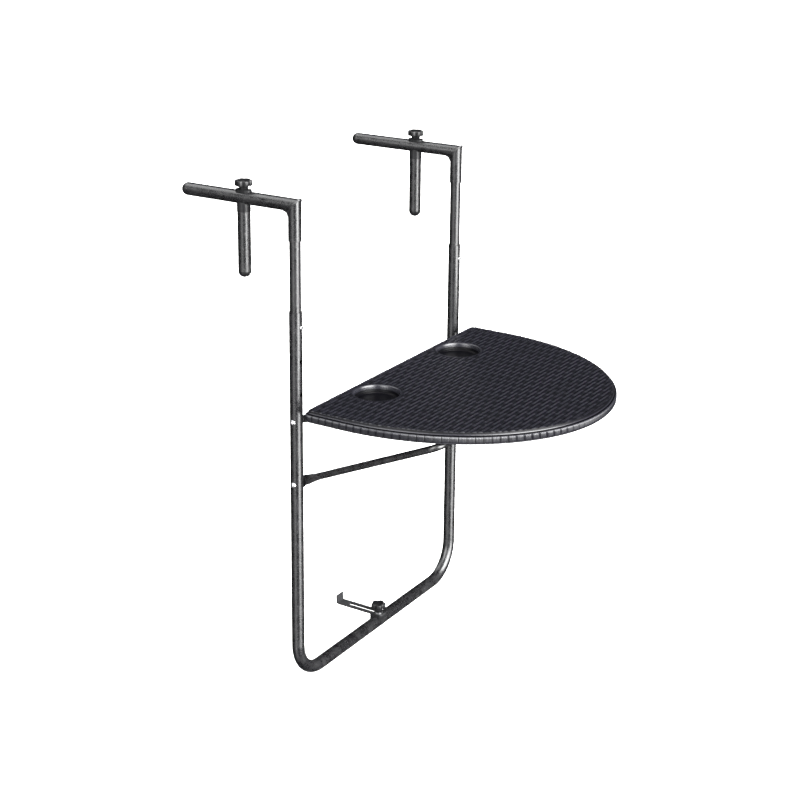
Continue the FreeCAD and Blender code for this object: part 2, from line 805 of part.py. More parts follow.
def make_hinge_bracket():
    """The right-hand hinge bracket: an ear on the rivet and a flange under the top."""
    front_y = -bracket_length
    low = bracket_drop
    ear = polygon([
        Vector(ear_inner_x, -back_gap - 1, underside_z),
        Vector(ear_inner_x, front_y, underside_z),
        Vector(ear_inner_x, front_y, underside_z - bracket_thickness),
        Vector(ear_inner_x, front_y + low - bracket_thickness, underside_z - low),
        Vector(ear_inner_x, -back_gap - bracket_slant, underside_z - low),
        Vector(ear_inner_x, 0, table_pivot_z - bracket_eye_r),
        Vector(ear_inner_x, 0, table_pivot_z + bracket_eye_r),
    ]).extrude(Vector(bracket_thickness, 0, 0))
    eye = cylinder(
        2 * bracket_eye_r, Vector(ear_inner_x, 0, table_pivot_z), Vector(ear_outer_x, 0, table_pivot_z)
    )
    flange = box(
        Vector(ear_outer_x - bracket_flange, front_y, underside_z - bracket_thickness),
        Vector(ear_outer_x, -back_gap - bracket_root, underside_z),
    )
    bracket = ear.fuse([eye, flange]).removeSplitter()
    holes = [cylinder(
        rivet_d + 2 * turn_gap,
        Vector(ear_inner_x - 1, 0, table_pivot_z),
        Vector(ear_outer_x + 1, 0, table_pivot_z),
    )]
    for place in bracket_screw_places():
        holes.append(cylinder(
            screw_shank_d + 2 * snug_gap,
            Vector(place.x, place.y, underside_z - bracket_thickness - 1),
            Vector(place.x, place.y, underside_z + 1),
        ))
    return bracket.cut(holes)


def make_screw(place, seat_z):
    """A pan-head screw driven upwards from its seat."""
    seat = Vector(place.x, place.y, seat_z)
    low = seat - Vector(0, 0, screw_head)
    crown = screw_crown
    head = Part.makeCylinder(screw_head_d / 2, screw_head - crown, low + Vector(0, 0, crown))
    head = head.fuse(Part.makeCone(screw_head_d / 2 - crown, screw_head_d / 2, crown, low))
    shank = Part.makeCylinder(screw_shank_d / 2, catch_base + screw_bite - screw_end_gap, seat)
    return head.fuse(shank).removeSplitter()


def make_bracket_screws():
    """All the screws that hold the hinge brackets to the top."""
    screws = []
    for place in bracket_screw_places():
        for side in (-1, 1):
            spot = Vector(side * place.x, place.y, 0)
            screws.append(make_screw(spot, underside_z - bracket_thickness))
    return Part.makeCompound(screws)


def make_catch_screws():
    """All the screws that hold the catches to the top."""
    return Part.makeCompound([make_screw(place, underside_z) for place in catch_screw_places()])


def flat_section(x, y, width, thickness):
    """The section of the prop where it is pressed flat, as a wire of four edges."""
    half_line = (width - thickness) / 2
    half = thickness / 2
    return Part.Wire([
        edge(Vector(x - half, y, -half_line), Vector(x - half, y, half_line)),
        arc(Vector(x - half, y, half_line), Vector(x, y, half_line + half), Vector(x + half, y, half_line)),
        edge(Vector(x + half, y, half_line), Vector(x + half, y, -half_line)),
        arc(
            Vector(x + half, y, -half_line),
            Vector(x, y, -half_line - half),
            Vector(x - half, y, -half_line),
        ),
    ])


def round_section(x, y, diameter):
    """The round section of the prop, cut into four matching edges."""
    radius = diameter / 2
    slant = radius * math.sqrt(0.5)
    west = Vector(x - slant, y, -slant)
    north = Vector(x - slant, y, slant)
    east = Vector(x + slant, y, slant)
    south = Vector(x + slant, y, -slant)
    return Part.Wire([
        arc(west, Vector(x - radius, y, 0), north),
        arc(north, Vector(x, y, radius), east),
        arc(east, Vector(x + radius, y, 0), south),
        arc(south, Vector(x, y, -radius), west),
    ])


def make_prop():
    """The prop: a U of thin tube with both ends pressed flat and holed for their rivets."""
    taper_y = -prop_flat_length
    round_y = taper_y - prop_taper_length
    bend = prop_bend_r
    far_y = -prop_length
    dip = bend * (1 - math.sqrt(0.5))
    path = Part.Wire([
        edge(Vector(-prop_tube_x, round_y, 0), Vector(-prop_tube_x, far_y + bend, 0)),
        arc(
            Vector(-prop_tube_x, far_y + bend, 0),
            Vector(-prop_tube_x + dip, far_y + dip, 0),
            Vector(-prop_tube_x + bend, far_y, 0),
        ),
        edge(Vector(-prop_tube_x + bend, far_y, 0), Vector(prop_tube_x - bend, far_y, 0)),
        arc(
            Vector(prop_tube_x - bend, far_y, 0),
            Vector(prop_tube_x - dip, far_y + dip, 0),
            Vector(prop_tube_x, far_y + bend, 0),
        ),
        edge(Vector(prop_tube_x, far_y + bend, 0), Vector(prop_tube_x, round_y, 0)),
    ])
    start = Vector(-prop_tube_x, round_y, 0)
    rod = swept_round(path, prop_tube_d, start, Y_AXIS)
    bore = swept_round(path, prop_tube_d - 2 * prop_tube_wall, start, Y_AXIS)
    flat_x = (prop_flat_outer_x + prop_flat_inner_x) / 2
    taper = Part.makeLoft([
        flat_section(flat_x, taper_y, prop_flat_width, prop_flat_thickness),
        round_section(prop_tube_x, round_y, prop_tube_d),
    ], True, True)
    half = prop_flat_width / 2
    plate = box(Vector(prop_flat_inner_x, taper_y, -half), Vector(prop_flat_outer_x, 0, half))
    plate = plate.fuse(cylinder(
        prop_flat_width, Vector(prop_flat_inner_x, 0, 0), Vector(prop_flat_outer_x, 0, 0)
    ))
    hole = cylinder(
        rivet_d + 2 * turn_gap, Vector(prop_flat_inner_x - 1, 0, 0), Vector(prop_flat_outer_x + 1, 0, 0)
    )
    end = plate.fuse(taper).removeSplitter().cut(hole)
    vent_y = round_y - prop_tube_d
    vents = []
    for side in (-1, 1):
        centre = Vector(side * prop_tube_x, vent_y, 0)
        vents.append(cylinder(prop_vent_d, centre, centre - Vector(0, 0, prop_tube_d)))
    prop = rod.cut([bore] + vents).fuse([end, mirrored(end)])
    prop.rotate(Vector(0, 0, 0), X_AXIS, -prop_angle)
    prop.translate(Vector(0, 0, prop_pivot_z))
    return prop


def make_brace_bar():
    """The slotted brace bar with its turned-up lip."""
    inner_y = brace_reach - brace_thickness
    half = brace_width / 2
    high = brace_low_z + brace_lip
    thick = brace_thickness
    bend = brace_bend_r
    slant = math.sqrt(0.5)
    inner = bend - thick / 2
    outer = bend + thick / 2
    centre_y = brace_reach - outer
    centre_z = brace_low_z + outer
    profile = Part.Face(Part.Wire([
        edge(Vector(-half, -brace_tail, brace_low_z), Vector(-half, centre_y, brace_low_z)),
        arc(
            Vector(-half, centre_y, brace_low_z),
            Vector(-half, centre_y + outer * slant, centre_z - outer * slant),
            Vector(-half, brace_reach, centre_z),
        ),
        edge(Vector(-half, brace_reach, centre_z), Vector(-half, brace_reach, high)),
        edge(Vector(-half, brace_reach, high), Vector(-half, inner_y, high)),
        edge(Vector(-half, inner_y, high), Vector(-half, inner_y, centre_z)),
        arc(
            Vector(-half, inner_y, centre_z),
            Vector(-half, centre_y + inner * slant, centre_z - inner * slant),
            Vector(-half, centre_y, brace_low_z + thick),
        ),
        edge(Vector(-half, centre_y, brace_low_z + thick), Vector(-half, -brace_tail, brace_low_z + thick)),
        edge(Vector(-half, -brace_tail, brace_low_z + thick), Vector(-half, -brace_tail, brace_low_z)),
    ]))
    bar = profile.extrude(Vector(brace_width, 0, 0))
    corners = [e for e in bar.Edges if e.BoundBox.YMax < -brace_tail + 0.01 and e.Length < thick + 0.1]
    bar = bar.makeFillet(brace_corner_r, corners)
    slot = stadium_prism(
        brace_slot_travel + slot_width,
        slot_width,
        Vector(0, brace_slot_travel / 2, brace_low_z - 1),
        thick + 2,
        "y",
    )
    return bar.cut(slot)


def make_brace_saddle():
    """The moulded pad that seats the flat brace on the round tube."""
    half = brace_saddle_length / 2
    pad = box(
        Vector(-half, -brace_width / 2, frame_low_z + frame_r * 0.5),
        Vector(half, brace_width / 2, brace_low_z + brace_cheek_height),
    )
    path_half = brace_width / 2 + slide_gap
    path = box(
        Vector(-path_half, -brace_width, brace_low_z),
        Vector(path_half, brace_width, brace_low_z + brace_cheek_height + 1),
    )
    round_tube = cylinder(
        frame_tube_d + 2 * snug_gap,
        Vector(-post_spacing / 4, 0, frame_low_z),
        Vector(post_spacing / 4, 0, frame_low_z),
    )
    bore = Part.makeCylinder(rivet_nut_flange_d / 2 + snug_gap, frame_tube_d, Vector(0, 0, frame_low_z))
    return pad.cut([path, round_tube, bore])


def make_brace_nut():
    """The rivet nut set in the top wall of the bottom tube."""
    crown = frame_low_z + frame_r
    low = Vector(0, 0, crown - rivet_nut_length)
    shank = Part.makeCylinder(rivet_nut_shank_d / 2, rivet_nut_length + rivet_nut_flange, low)
    flange = Part.makeCylinder(rivet_nut_flange_d / 2, rivet_nut_flange, Vector(0, 0, crown))
    bore = Part.makeCylinder(screw_d / 2 + turn_gap, 2 * rivet_nut_length, low - Z_AXIS)
    return shank.fuse(flange).removeSplitter().cut(bore)


def make_brace_washer():
    """The washer between the star knob and the brace bar."""
    low = Vector(0, 0, brace_top_z)
    ring = Part.makeCylinder(brace_washer_d / 2, brace_washer_thickness, low)
    return ring.cut(Part.makeCylinder(screw_d / 2 + slide_gap, brace_washer_thickness + 2, low - Z_AXIS))


def make_brace_knob():
    """The star knob that clamps the brace."""
    low = Vector(0, 0, star_knob_z + snug_gap)
    knob = lobed_knob(
        star_knob_d, star_knob_head, star_knob_head_edge, star_knob_neck_d, star_knob_neck,
        star_knob_lobes, star_lobe_cut_d, star_lobe_cut_offset, low
    )
    return knob.cut(cylinder(screw_d, low - Z_AXIS, low + Vector(0, 0, star_knob_neck + star_knob_head / 2)))


def make_brace_screw():
    """The screw moulded in the star knob, down into the rivet nut."""
    high = star_knob_z + snug_gap + star_knob_neck + star_knob_head / 2
    return cylinder(screw_d, Vector(0, 0, frame_low_z + frame_r - brace_screw_bite), Vector(0, 0, high))


def hook_pieces(name, side, peg_y):
    """Every piece of one hook, its snap button, its peg and its thumb knob."""
    x = side * half_spacing
    return {
        f"{name}_hook": make_hook(x),
        f"{name}_inner_tube": make_inner_tube(x),
        f"{name}_arm_cap": make_arm_cap(x),
        f"{name}_snap_button": make_snap_button(x),
        f"{name}_peg_tube": make_peg_tube(x, peg_y),
        f"{name}_peg_saddle": make_peg_saddle(x, peg_y),
        f"{name}_peg_cap": make_peg_cap(x, peg_y),
        f"{name}_peg_nut": make_peg_nut(x, peg_y),
        f"{name}_slot_cover": make_slot_cover(x, peg_y),
        f"{name}_clamp_knob": make_clamp_knob(x, peg_y),
        f"{name}_clamp_screw": make_clamp_screw(x, peg_y),
    }


def all_pieces():
    """Every piece of the table by its name."""
    bracket = make_hinge_bracket()
    pieces = {
        "u_frame": make_frame(),
        "tabletop": make_top(),
        "left_hinge_bracket": mirrored(bracket),
        "right_hinge_bracket": bracket,
        "bracket_screws": make_bracket_screws(),
        "prop_catches": Part.makeCompound([make_catch(-1), make_catch(1)]),
        "catch_screws": make_catch_screws(),
        "prop": make_prop(),
        "table_rivets": both_sides(make_rivet(table_pivot_z, ear_inner_x)),
        "prop_rivets": both_sides(make_rivet(prop_pivot_z, prop_flat_inner_x)),
        "table_washers": both_sides(make_washer(table_pivot_z, washer_d, washer_thickness)),
        "prop_spacers": both_sides(make_washer(prop_pivot_z, spacer_d, spacer_thickness)),
        "brace_bar": make_brace_bar(),
        "brace_saddle": make_brace_saddle(),
        "brace_rivet_nut": make_brace_nut(),
        "brace_washer": make_brace_washer(),
        "brace_knob": make_brace_knob(),
        "brace_screw": make_brace_screw(),
    }
    pieces.update(hook_pieces("left", -1, peg_set_left))
    pieces.update(hook_pieces("right", 1, peg_set_right))
    return pieces


os.makedirs("parts", exist_ok=True)
for piece_name, piece in all_pieces().items():
    piece.exportStep(f"parts/{piece_name}.step")
    print(f"{piece_name}: {len(piece.Solids)} solids, {piece.Volume / 1000:.2f} cm3, valid {piece.isValid()}")
print(f"prop angle {prop_angle:.3f} degrees, prop swing per fold degree {prop_fold_ratio():.5f}")
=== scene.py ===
"""Looks of the balcony railing bar table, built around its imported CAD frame.

Every length is in metres and every place is in the frame of the CAD model: the origin lies between
the two hooks where the rail bears, +Y runs over the railing and the top stands out towards -Y.
"""

import logging
import math
from collections.abc import Iterator, Sequence
from dataclasses import dataclass, field
from enum import Enum

import bmesh
import bpy
import numpy as np
from mathutils import Matrix, Vector
from mathutils.geometry import delaunay_2d_cdt

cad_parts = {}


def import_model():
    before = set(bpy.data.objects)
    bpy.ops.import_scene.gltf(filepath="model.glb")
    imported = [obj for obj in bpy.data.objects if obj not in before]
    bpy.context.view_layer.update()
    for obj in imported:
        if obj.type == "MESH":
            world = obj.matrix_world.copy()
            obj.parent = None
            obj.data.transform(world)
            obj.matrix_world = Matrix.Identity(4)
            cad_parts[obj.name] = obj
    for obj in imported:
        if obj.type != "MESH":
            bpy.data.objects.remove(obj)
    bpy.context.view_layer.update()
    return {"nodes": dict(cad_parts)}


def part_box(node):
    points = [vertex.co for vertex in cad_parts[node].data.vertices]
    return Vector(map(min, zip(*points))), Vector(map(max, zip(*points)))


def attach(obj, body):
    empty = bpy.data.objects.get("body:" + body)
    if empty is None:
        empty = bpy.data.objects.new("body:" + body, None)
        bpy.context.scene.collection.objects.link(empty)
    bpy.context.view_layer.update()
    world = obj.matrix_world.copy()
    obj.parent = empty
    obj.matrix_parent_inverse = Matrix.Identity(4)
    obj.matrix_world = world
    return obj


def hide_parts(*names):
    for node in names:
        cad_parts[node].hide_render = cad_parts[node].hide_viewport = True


LOG = logging.getLogger("bar_table")
Socket = bpy.types.NodeSocket
Triple = tuple[float, float, float]
Colour = Triple
Span = tuple[float, float]
Face = tuple[int, ...]

# Where nearly all of one noise lies, and of two noises added up
NOISE: Span = (0.3, 0.7)
TWO_NOISES: Span = (0.7, 1.3)

# How close two points of a triangulation, or two vertices of a mesh, are taken for one
SAME_POINT = 1e-9
SAME_VERTEX = 1e-7

# How many points are compared with a whole loop at once
BATCH = 4000


class Slot(Enum):
    """The finishes that the record lets a scene repaint."""

    FRAME_COAT = "frame_coat"
    TOP_PLASTIC = "top_plastic"
    BLACK_PLASTIC = "black_plastic"


class Body(Enum):
    """The moving bodies that new pieces ride on."""

    TABLE = "table"
    BRACE_KNOB = "brace_knob"
    LEFT_HOOK = "left_hook"
    RIGHT_HOOK = "right_hook"
    LEFT_KNOB = "left_knob"
    RIGHT_KNOB = "right_knob"


class NodeBench:
    """A node tree with short calls for the nodes that the finishes and the light share."""

    def __init__(self, tree: bpy.types.NodeTree) -> None:
        """Starts with an empty tree.

        Args:
            tree: The tree.
        """
        self.tree = tree
        tree.nodes.clear()

    def node(self, kind: str) -> bpy.types.Node:
        """Adds a node of one kind."""
        return self.tree.nodes.new(kind)

    def link(self, source: Socket, target: Socket) -> None:
        """Joins two sockets."""
        self.tree.links.new(source, target)

    def feed(self, target: Socket, value: Socket | float) -> None:
        """Gives a socket a number, or the output of another node.

        Args:
            target: The socket.
            value: The number or the output.
        """
        if isinstance(value, (int, float)):
            target.default_value = value
        else:
            self.link(value, target)

    def remap(self, value: Socket, span: Span, to: Span, curve: str = "LINEAR") -> Socket:
        """Stretches one range of numbers to another, and clips what lies outside it.

        Args:
            value: The number to stretch.
            span: The start and the end of its range.
            to: What the start and the end become.
            curve: How it runs from one to the other.

        Returns:
            The stretched number.
        """
        remap = self.node("ShaderNodeMapRange")
        remap.interpolation_type = curve
        self.link(value, remap.inputs["Value"])
        for name, number in zip(("From Min", "From Max", "To Min", "To Max"), (*span, *to)):
            remap.inputs[name].default_value = number
        return remap.outputs["Result"]

    def combine(self, first: Socket | float, second: Socket | float, operation: str = "ADD") -> Socket:
        """One sum, difference, product or quotient of two numbers.

        Args:
            first: The first number.
            second: The second number.
            operation: Which of them it is.

        Returns:
            The answer.
        """
        step = self.node("ShaderNodeMath")
        step.operation = operation
        self.feed(step.inputs[0], first)
        self.feed(step.inputs[1], second)
        return step.outputs["Value"]

    def vector(self, operation: str, first: Socket, second: Triple = (0.0, 0.0, 0.0)) -> bpy.types.Node:
        """One step with vectors.

        Args:
            operation: Which step it is.
            first: The vector that changes over the picture.
            second: The fixed vector, where the step takes two.

        Returns:
            The node, for its Vector or Value output.
        """
        step = self.node("ShaderNodeVectorMath")
        step.operation = operation
        step.inputs[1].default_value = second
        self.link(first, step.inputs[0])
        return step


class MaterialBench(NodeBench):
    """The node tree of one material."""

    def __init__(self, name: str) -> None:
        """Starts an empty material with one shader and its output.

        Args:
            name: The material's name.
        """
        self.material = bpy.data.materials.new(name)
        self.material.use_nodes = True
        super().__init__(self.material.node_tree)
        self.shader = self.node("ShaderNodeBsdfPrincipled")
        self.link(self.shader.outputs["BSDF"], self.node("ShaderNodeOutputMaterial").inputs["Surface"])
        self.place = self.node("ShaderNodeTexCoord").outputs["Object"]

    def stretched(self, scale: Triple) -> Socket:
        """The object's own coordinates, stretched.

        Args:
            scale: The factor along each axis.

        Returns:
            The stretched coordinates.
        """
        mapping = self.node("ShaderNodeMapping")
        mapping.inputs["Scale"].default_value = scale
        self.link(self.place, mapping.inputs["Vector"])
        return mapping.outputs["Vector"]

    def noise(self, scale: float, detail: float = 3.0, at: Socket | None = None) -> Socket:
        """Soft noise, from 0 to 1.

        Args:
            scale: How many features there are to a metre.
            detail: How many finer layers are added.
            at: The coordinates, or the object's own.

        Returns:
            The noise.
        """
        noise = self.node("ShaderNodeTexNoise")
        noise.inputs["Scale"].default_value = scale
        noise.inputs["Detail"].default_value = detail
        self.link(at or self.place, noise.inputs["Vector"])
        return noise.outputs["Fac"]

    def cells(self, scale: float) -> Socket:
        """Smooth distance to the nearest of many scattered points.

        Args:
            scale: How many cells there are to a metre.

        Returns:
            The distance, in cells.
        """
        cells = self.node("ShaderNodeTexVoronoi")
        cells.feature = "SMOOTH_F1"
        cells.inputs["Scale"].default_value = scale
        self.link(self.place, cells.inputs["Vector"])
        return cells.outputs["Distance"]

    def edges(self) -> Socket:
        """How far the surface stands proud: 0.5 where it is flat, and more on an outer edge."""
        return self.node("ShaderNodeNewGeometry").outputs["Pointiness"]

    def attribute(self, name: str) -> Socket:
        """A number stored at the mesh's vertices.

        Args:
            name: The name that it is stored under.

        Returns:
            The number.
        """
        reader = self.node("ShaderNodeAttribute")
        reader.attribute_name = name
        return reader.outputs["Fac"]

    def ramp(self, value: Socket, stops: list[tuple[float, Colour]]) -> Socket:
        """Colours read off a scale.

        Args:
            value: The place on the scale, from 0 to 1.
            stops: Each stop's place and colour.

        Returns:
            The colour.
        """
        ramp = self.node("ShaderNodeValToRGB")
        ramp.color_ramp.elements[0].position = stops[0][0]
        ramp.color_ramp.elements[1].position = stops[-1][0]
        for place, _ in stops[1:-1]:
            ramp.color_ramp.elements.new(place)
        for element, (_, colour) in zip(ramp.color_ramp.elements, stops):
            element.color = (*colour, 1.0)
        self.link(value, ramp.inputs["Fac"])
        return ramp.outputs["Color"]

    def bump(self, height: Socket, depth: float, strength: float, under: Socket | None = None) -> Socket:
        """A bumpy surface.

        Args:
            height: The height, from 0 to 1.
            depth: How high 1 stands, in metres.
            strength: How much of the bump shows.
            under: A coarser bump that this one lies on.

        Returns:
            The surface's direction.
        """
        bump = self.node("ShaderNodeBump")
        bump.inputs["Distance"].default_value = depth
        bump.inputs["Strength"].default_value = strength
        self.link(height, bump.inputs["Height"])
        if under is not None:
            self.link(under, bump.inputs["Normal"])
        return bump.outputs["Normal"]

    def finish(
        self, colour: Socket, roughness: Socket, normal: Socket, **even: float
    ) -> bpy.types.Material:
        """Joins the layers to the shader.

        Args:
            colour: The base colour.
            roughness: The roughness.
            normal: The bumpy surface.
            **even: Shader numbers that are the same all over.

        Returns:
            The finished material.
        """
        self.link(colour, self.shader.inputs["Base Color"])
        self.link(roughness, self.shader.inputs["Roughness"])
        self.link(normal, self.shader.inputs["Normal"])
        for name, number in even.items():
            socket = name.replace("_", " ").title().replace("Ior", "IOR")
            self.shader.inputs[socket].default_value = number
        return self.material


def shaded(colour: Colour, by: float) -> Colour:
    """A colour made lighter or darker."""
    return tuple(by * part for part in colour)


@dataclass(frozen=True)
class HammerCoat:
    """Powder coat that dries to dark dimples with pale metal flecks; patterns in features to a metre."""

    name: str = "hammer_coat"
    dark: Colour = (0.0045, 0.0045, 0.0050)
    pale: Colour = (0.17, 0.17, 0.175)
    dimple: float = 0.0019
    dimple_depth: float = 0.00022
    flecks_per_dimple: float = 1.6
    mottle: float = 60.0
    grain: float = 4200.0
    grain_depth: float = 0.00003
    roughness: float = 0.26

    def material(self) -> bpy.types.Material:
        """Builds the coat.

        Returns:
            The coat.
        """
        bench = MaterialBench(self.name)
        dimples = bench.cells(1 / self.dimple)
        flecks = bench.noise(self.flecks_per_dimple / self.dimple, 2.0)
        mottle = bench.noise(self.mottle, 2.0)
        tone = bench.combine(flecks, bench.remap(mottle, NOISE, (-0.03, 0.03)))
        body, fleck = shaded(self.dark, 2.6), shaded(self.pale, 0.35)
        colour = bench.ramp(tone, [(0.44, self.dark), (0.60, body), (0.70, fleck), (0.80, self.pale)])
        rough = (self.roughness - 0.06, self.roughness + 0.12)
        roughness = bench.remap(bench.combine(flecks, mottle), TWO_NOISES, rough)
        relief = bench.bump(dimples, self.dimple_depth, 0.55)
        surface = bench.bump(bench.noise(self.grain, 2.0), self.grain_depth, 0.4, relief)
        return bench.finish(colour, roughness, surface, metallic=0.15, specular_ior_level=0.9)


@dataclass(frozen=True)
class SatinCoat:
    """Smooth black coat on flat steel, a little worn at its edges; patterns in features to a metre."""

    name: str = "satin_coat"
    dark: Colour = (0.008, 0.008, 0.0085)
    rubbed_and_highlight: Colour = (0.04, 0.04, 0.042)
    patches: float = 220.0
    peel: float = 900.0
    peel_depth: float = 0.00008
    roughness: float = 0.36

    def material(self) -> bpy.types.Material:
        """Builds the coat.

        Returns:
            The coat.
        """
        bench = MaterialBench(self.name)
        worn = bench.remap(bench.edges(), (0.53, 0.62), (0.0, 0.7))
        patches = bench.noise(self.patches, 4.0)
        tone = bench.combine(worn, bench.remap(patches, (0.3, 0.8), (0.0, 0.3)))
        colour = bench.ramp(tone, [(0.0, self.dark), (0.4, shaded(self.dark, 1.6)), (1.0, self.rubbed_and_highlight)])
        roughness = bench.remap(patches, NOISE, (self.roughness - 0.05, self.roughness + 0.12))
        orange_peel = bench.bump(bench.noise(self.peel, 2.0), self.peel_depth, 0.35)
        return bench.finish(colour, roughness, orange_peel, specular_ior_level=0.25)


@dataclass(frozen=True)
class MouldedPlastic:
    """Black moulded plastic with a fine spark-eroded grain; the cloud in features to a metre."""

    name: str = "moulded_plastic"
    dark: Colour = (0.0045, 0.0045, 0.0050)
    pale: Colour = (0.013, 0.013, 0.014)
    grain: float = 0.00035
    grain_depth: float = 0.00004
    cloud: float = 90.0
    roughness: float = 0.32

    def material(self) -> bpy.types.Material:
        """Builds the plastic.

        Returns:
            The plastic.
        """
        bench = MaterialBench(self.name)
        grain = bench.noise(1 / self.grain, 3.0)
        cloud = bench.noise(self.cloud, 3.0)
        rubbed_and_highlight = bench.remap(bench.edges(), (0.52, 0.64), (0.0, 0.35))
        tone = bench.combine(bench.remap(cloud, (0.3, 0.8), (0.0, 0.6)), rubbed_and_highlight)
        colour = bench.ramp(tone, [(0.0, self.dark), (1.0, self.pale)])
        rough = (self.roughness - 0.05, self.roughness + 0.12)
        roughness = bench.remap(bench.combine(cloud, grain), TWO_NOISES, rough)
        surface = bench.bump(grain, self.grain_depth, 0.5)
        return bench.finish(colour, roughness, surface, specular_ior_level=0.3)


@dataclass(frozen=True)
class WovenMoulding:
    """Slate-black plastic moulded to look like plaited cord; patterns in features to a metre."""

    name: str = "woven_moulding"
    gap: Colour = (0.0012, 0.0012, 0.0018)
    cord: Colour = (0.0070, 0.0070, 0.0098)
    crown: Colour = (0.017, 0.017, 0.0225)
    # Painted highlight: the palest stop, reached by the rim tones above 1 on the roll top and the lip.
    rubbed_and_highlight: Colour = (0.045, 0.045, 0.050)
    top_tone: float = 1.5
    streak_long: float = 90.0
    streak_fine: float = 2600.0
    streak_deep: float = 900.0
    streak_depth: float = 0.00016
    cloud: float = 26.0
    grain: float = 3600.0
    grain_depth: float = 0.00003
    roughness: float = 0.27

    def material(self) -> bpy.types.Material:
        """Builds the moulding: painted shade in the gaps, painted highlight on the crowns and the rim's
        rounded edges, and fine lines along each cord.

        Returns:
            The moulding.
        """
        bench = MaterialBench(self.name)
        crest = bench.attribute("crest")
        along = bench.attribute("along")
        lengthways = bench.stretched((self.streak_long, self.streak_fine, self.streak_deep))
        crossways = bench.stretched((self.streak_fine, self.streak_long, self.streak_deep))
        aside = bench.combine(1.0, along, "SUBTRACT")
        lines = bench.combine(
            bench.combine(bench.noise(1.0, 3.0, lengthways), aside, "MULTIPLY"),
            bench.combine(bench.noise(1.0, 3.0, crossways), along, "MULTIPLY"),
        )
        cloud = bench.noise(self.cloud, 3.0)
        tone = bench.combine(crest, bench.remap(bench.combine(cloud, lines), TWO_NOISES, (-0.12, 0.12)))
        tone = bench.combine(tone, self.top_tone, "DIVIDE")
        # The ramp paints shade into the gaps and highlight onto the crowns and the rim's rounded edges.
        stops = [(0.03, self.gap), (0.4, self.cord), (0.7, self.crown), (1.0, self.rubbed_and_highlight)]
        rough = (self.roughness + 0.14, self.roughness - 0.03)
        roughness = bench.remap(bench.combine(cloud, crest), (0.4, 1.5), rough)
        relief = bench.bump(lines, self.streak_depth, 0.5)
        surface = bench.bump(bench.noise(self.grain, 2.0), self.grain_depth, 0.35, relief)
        shine = bench.remap(crest, (0.1, 1.0), (0.08, 0.8))
        bench.link(shine, bench.shader.inputs["Specular IOR Level"])
        return bench.finish(bench.ramp(tone, stops), roughness, surface)


@dataclass(frozen=True)
class PlatedSteel:
    """Zinc-plated steel with faint turning marks; patterns in features to a metre."""

    name: str = "plated_steel"
    pale: Colour = (0.78, 0.78, 0.79)
    dull: Colour = (0.52, 0.53, 0.55)
    patches: float = 420.0
    marks: Triple = (9000.0, 900.0, 900.0)
    mark_depth: float = 0.00003
    roughness: float = 0.24

    def material(self) -> bpy.types.Material:
        """Builds the plating.

        Returns:
            The plating.
        """
        bench = MaterialBench(self.name)
        patches = bench.noise(self.patches, 4.0)
        colour = bench.ramp(patches, [(0.3, self.dull), (0.7, self.pale)])
        roughness = bench.remap(patches, NOISE, (self.roughness + 0.14, self.roughness - 0.04))
        marks = bench.bump(bench.noise(1.0, 2.0, bench.stretched(self.marks)), self.mark_depth, 0.3)
        return bench.finish(colour, roughness, marks, metallic=1.0)


FINISHES = {
    "hammer_coat": HammerCoat(),
    "inner_coat": HammerCoat(
        "inner_coat", dark=(0.005, 0.005, 0.0055), pale=(0.14, 0.14, 0.145), roughness=0.29
    ),
    "weld_coat": HammerCoat("weld_coat", pale=(0.14, 0.14, 0.145), dimple=0.0012, roughness=0.34),
    "satin_coat": SatinCoat(),
    "moulded_plastic": MouldedPlastic(),
    "woven_moulding": WovenMoulding(),
    "plated_steel": PlatedSteel(),
    "spring_steel": PlatedSteel(
        "spring_steel", pale=(0.42, 0.42, 0.43), dull=(0.24, 0.24, 0.25), roughness=0.32
    ),
}


class Wardrobe:
    """Makes each finish once and dresses pieces in it."""

    def __init__(self) -> None:
        """Starts with nothing made."""
        self.made: dict[str, bpy.types.Material] = {}

    def material(self, name: str) -> bpy.types.Material:
        """The material of a named finish, made the first time it is asked for.

        Args:
            name: The finish.

        Returns:
            Its material.
        """
        if name not in self.made:
            self.made[name] = FINISHES[name].material()
        return self.made[name]

    def dress(self, piece: bpy.types.Object, name: str) -> None:
        """Gives a piece one finish all over.

        Args:
            piece: The piece.
            name: The finish.
        """
        if not piece.data.materials:
            piece.data.materials.append(None)
        for place in piece.material_slots:
            place.material = self.material(name)


def turns(count: int) -> np.ndarray:
    """Evenly spaced angles round one turn."""
    return np.linspace(0, 2 * math.pi, count, endpoint=False)


def circle(count: int) -> np.ndarray:
    """Evenly spaced points round a circle of radius 1."""
    return np.stack([np.cos(turns(count)), np.sin(turns(count))], 1)


def batches(count: int) -> Iterator[slice]:
    """Splits a long array into short stretches.

    Args:
        count: The array's length.

    Yields:
        The slice of each stretch.
    """
    for start in range(0, count, BATCH):
        yield slice(start, start + BATCH)


def bridge(first: Sequence[int], second: Sequence[int]) -> list[Face]:
    """Quads that join two rings.

    Args:
        first: The vertex numbers of one ring.
        second: Those of the other, as many and in step with the first.

    Returns:
        One quad per step.
    """
    count = len(first)
    return [(first[i], first[(i + 1) % count], second[(i + 1) % count], second[i]) for i in range(count)]


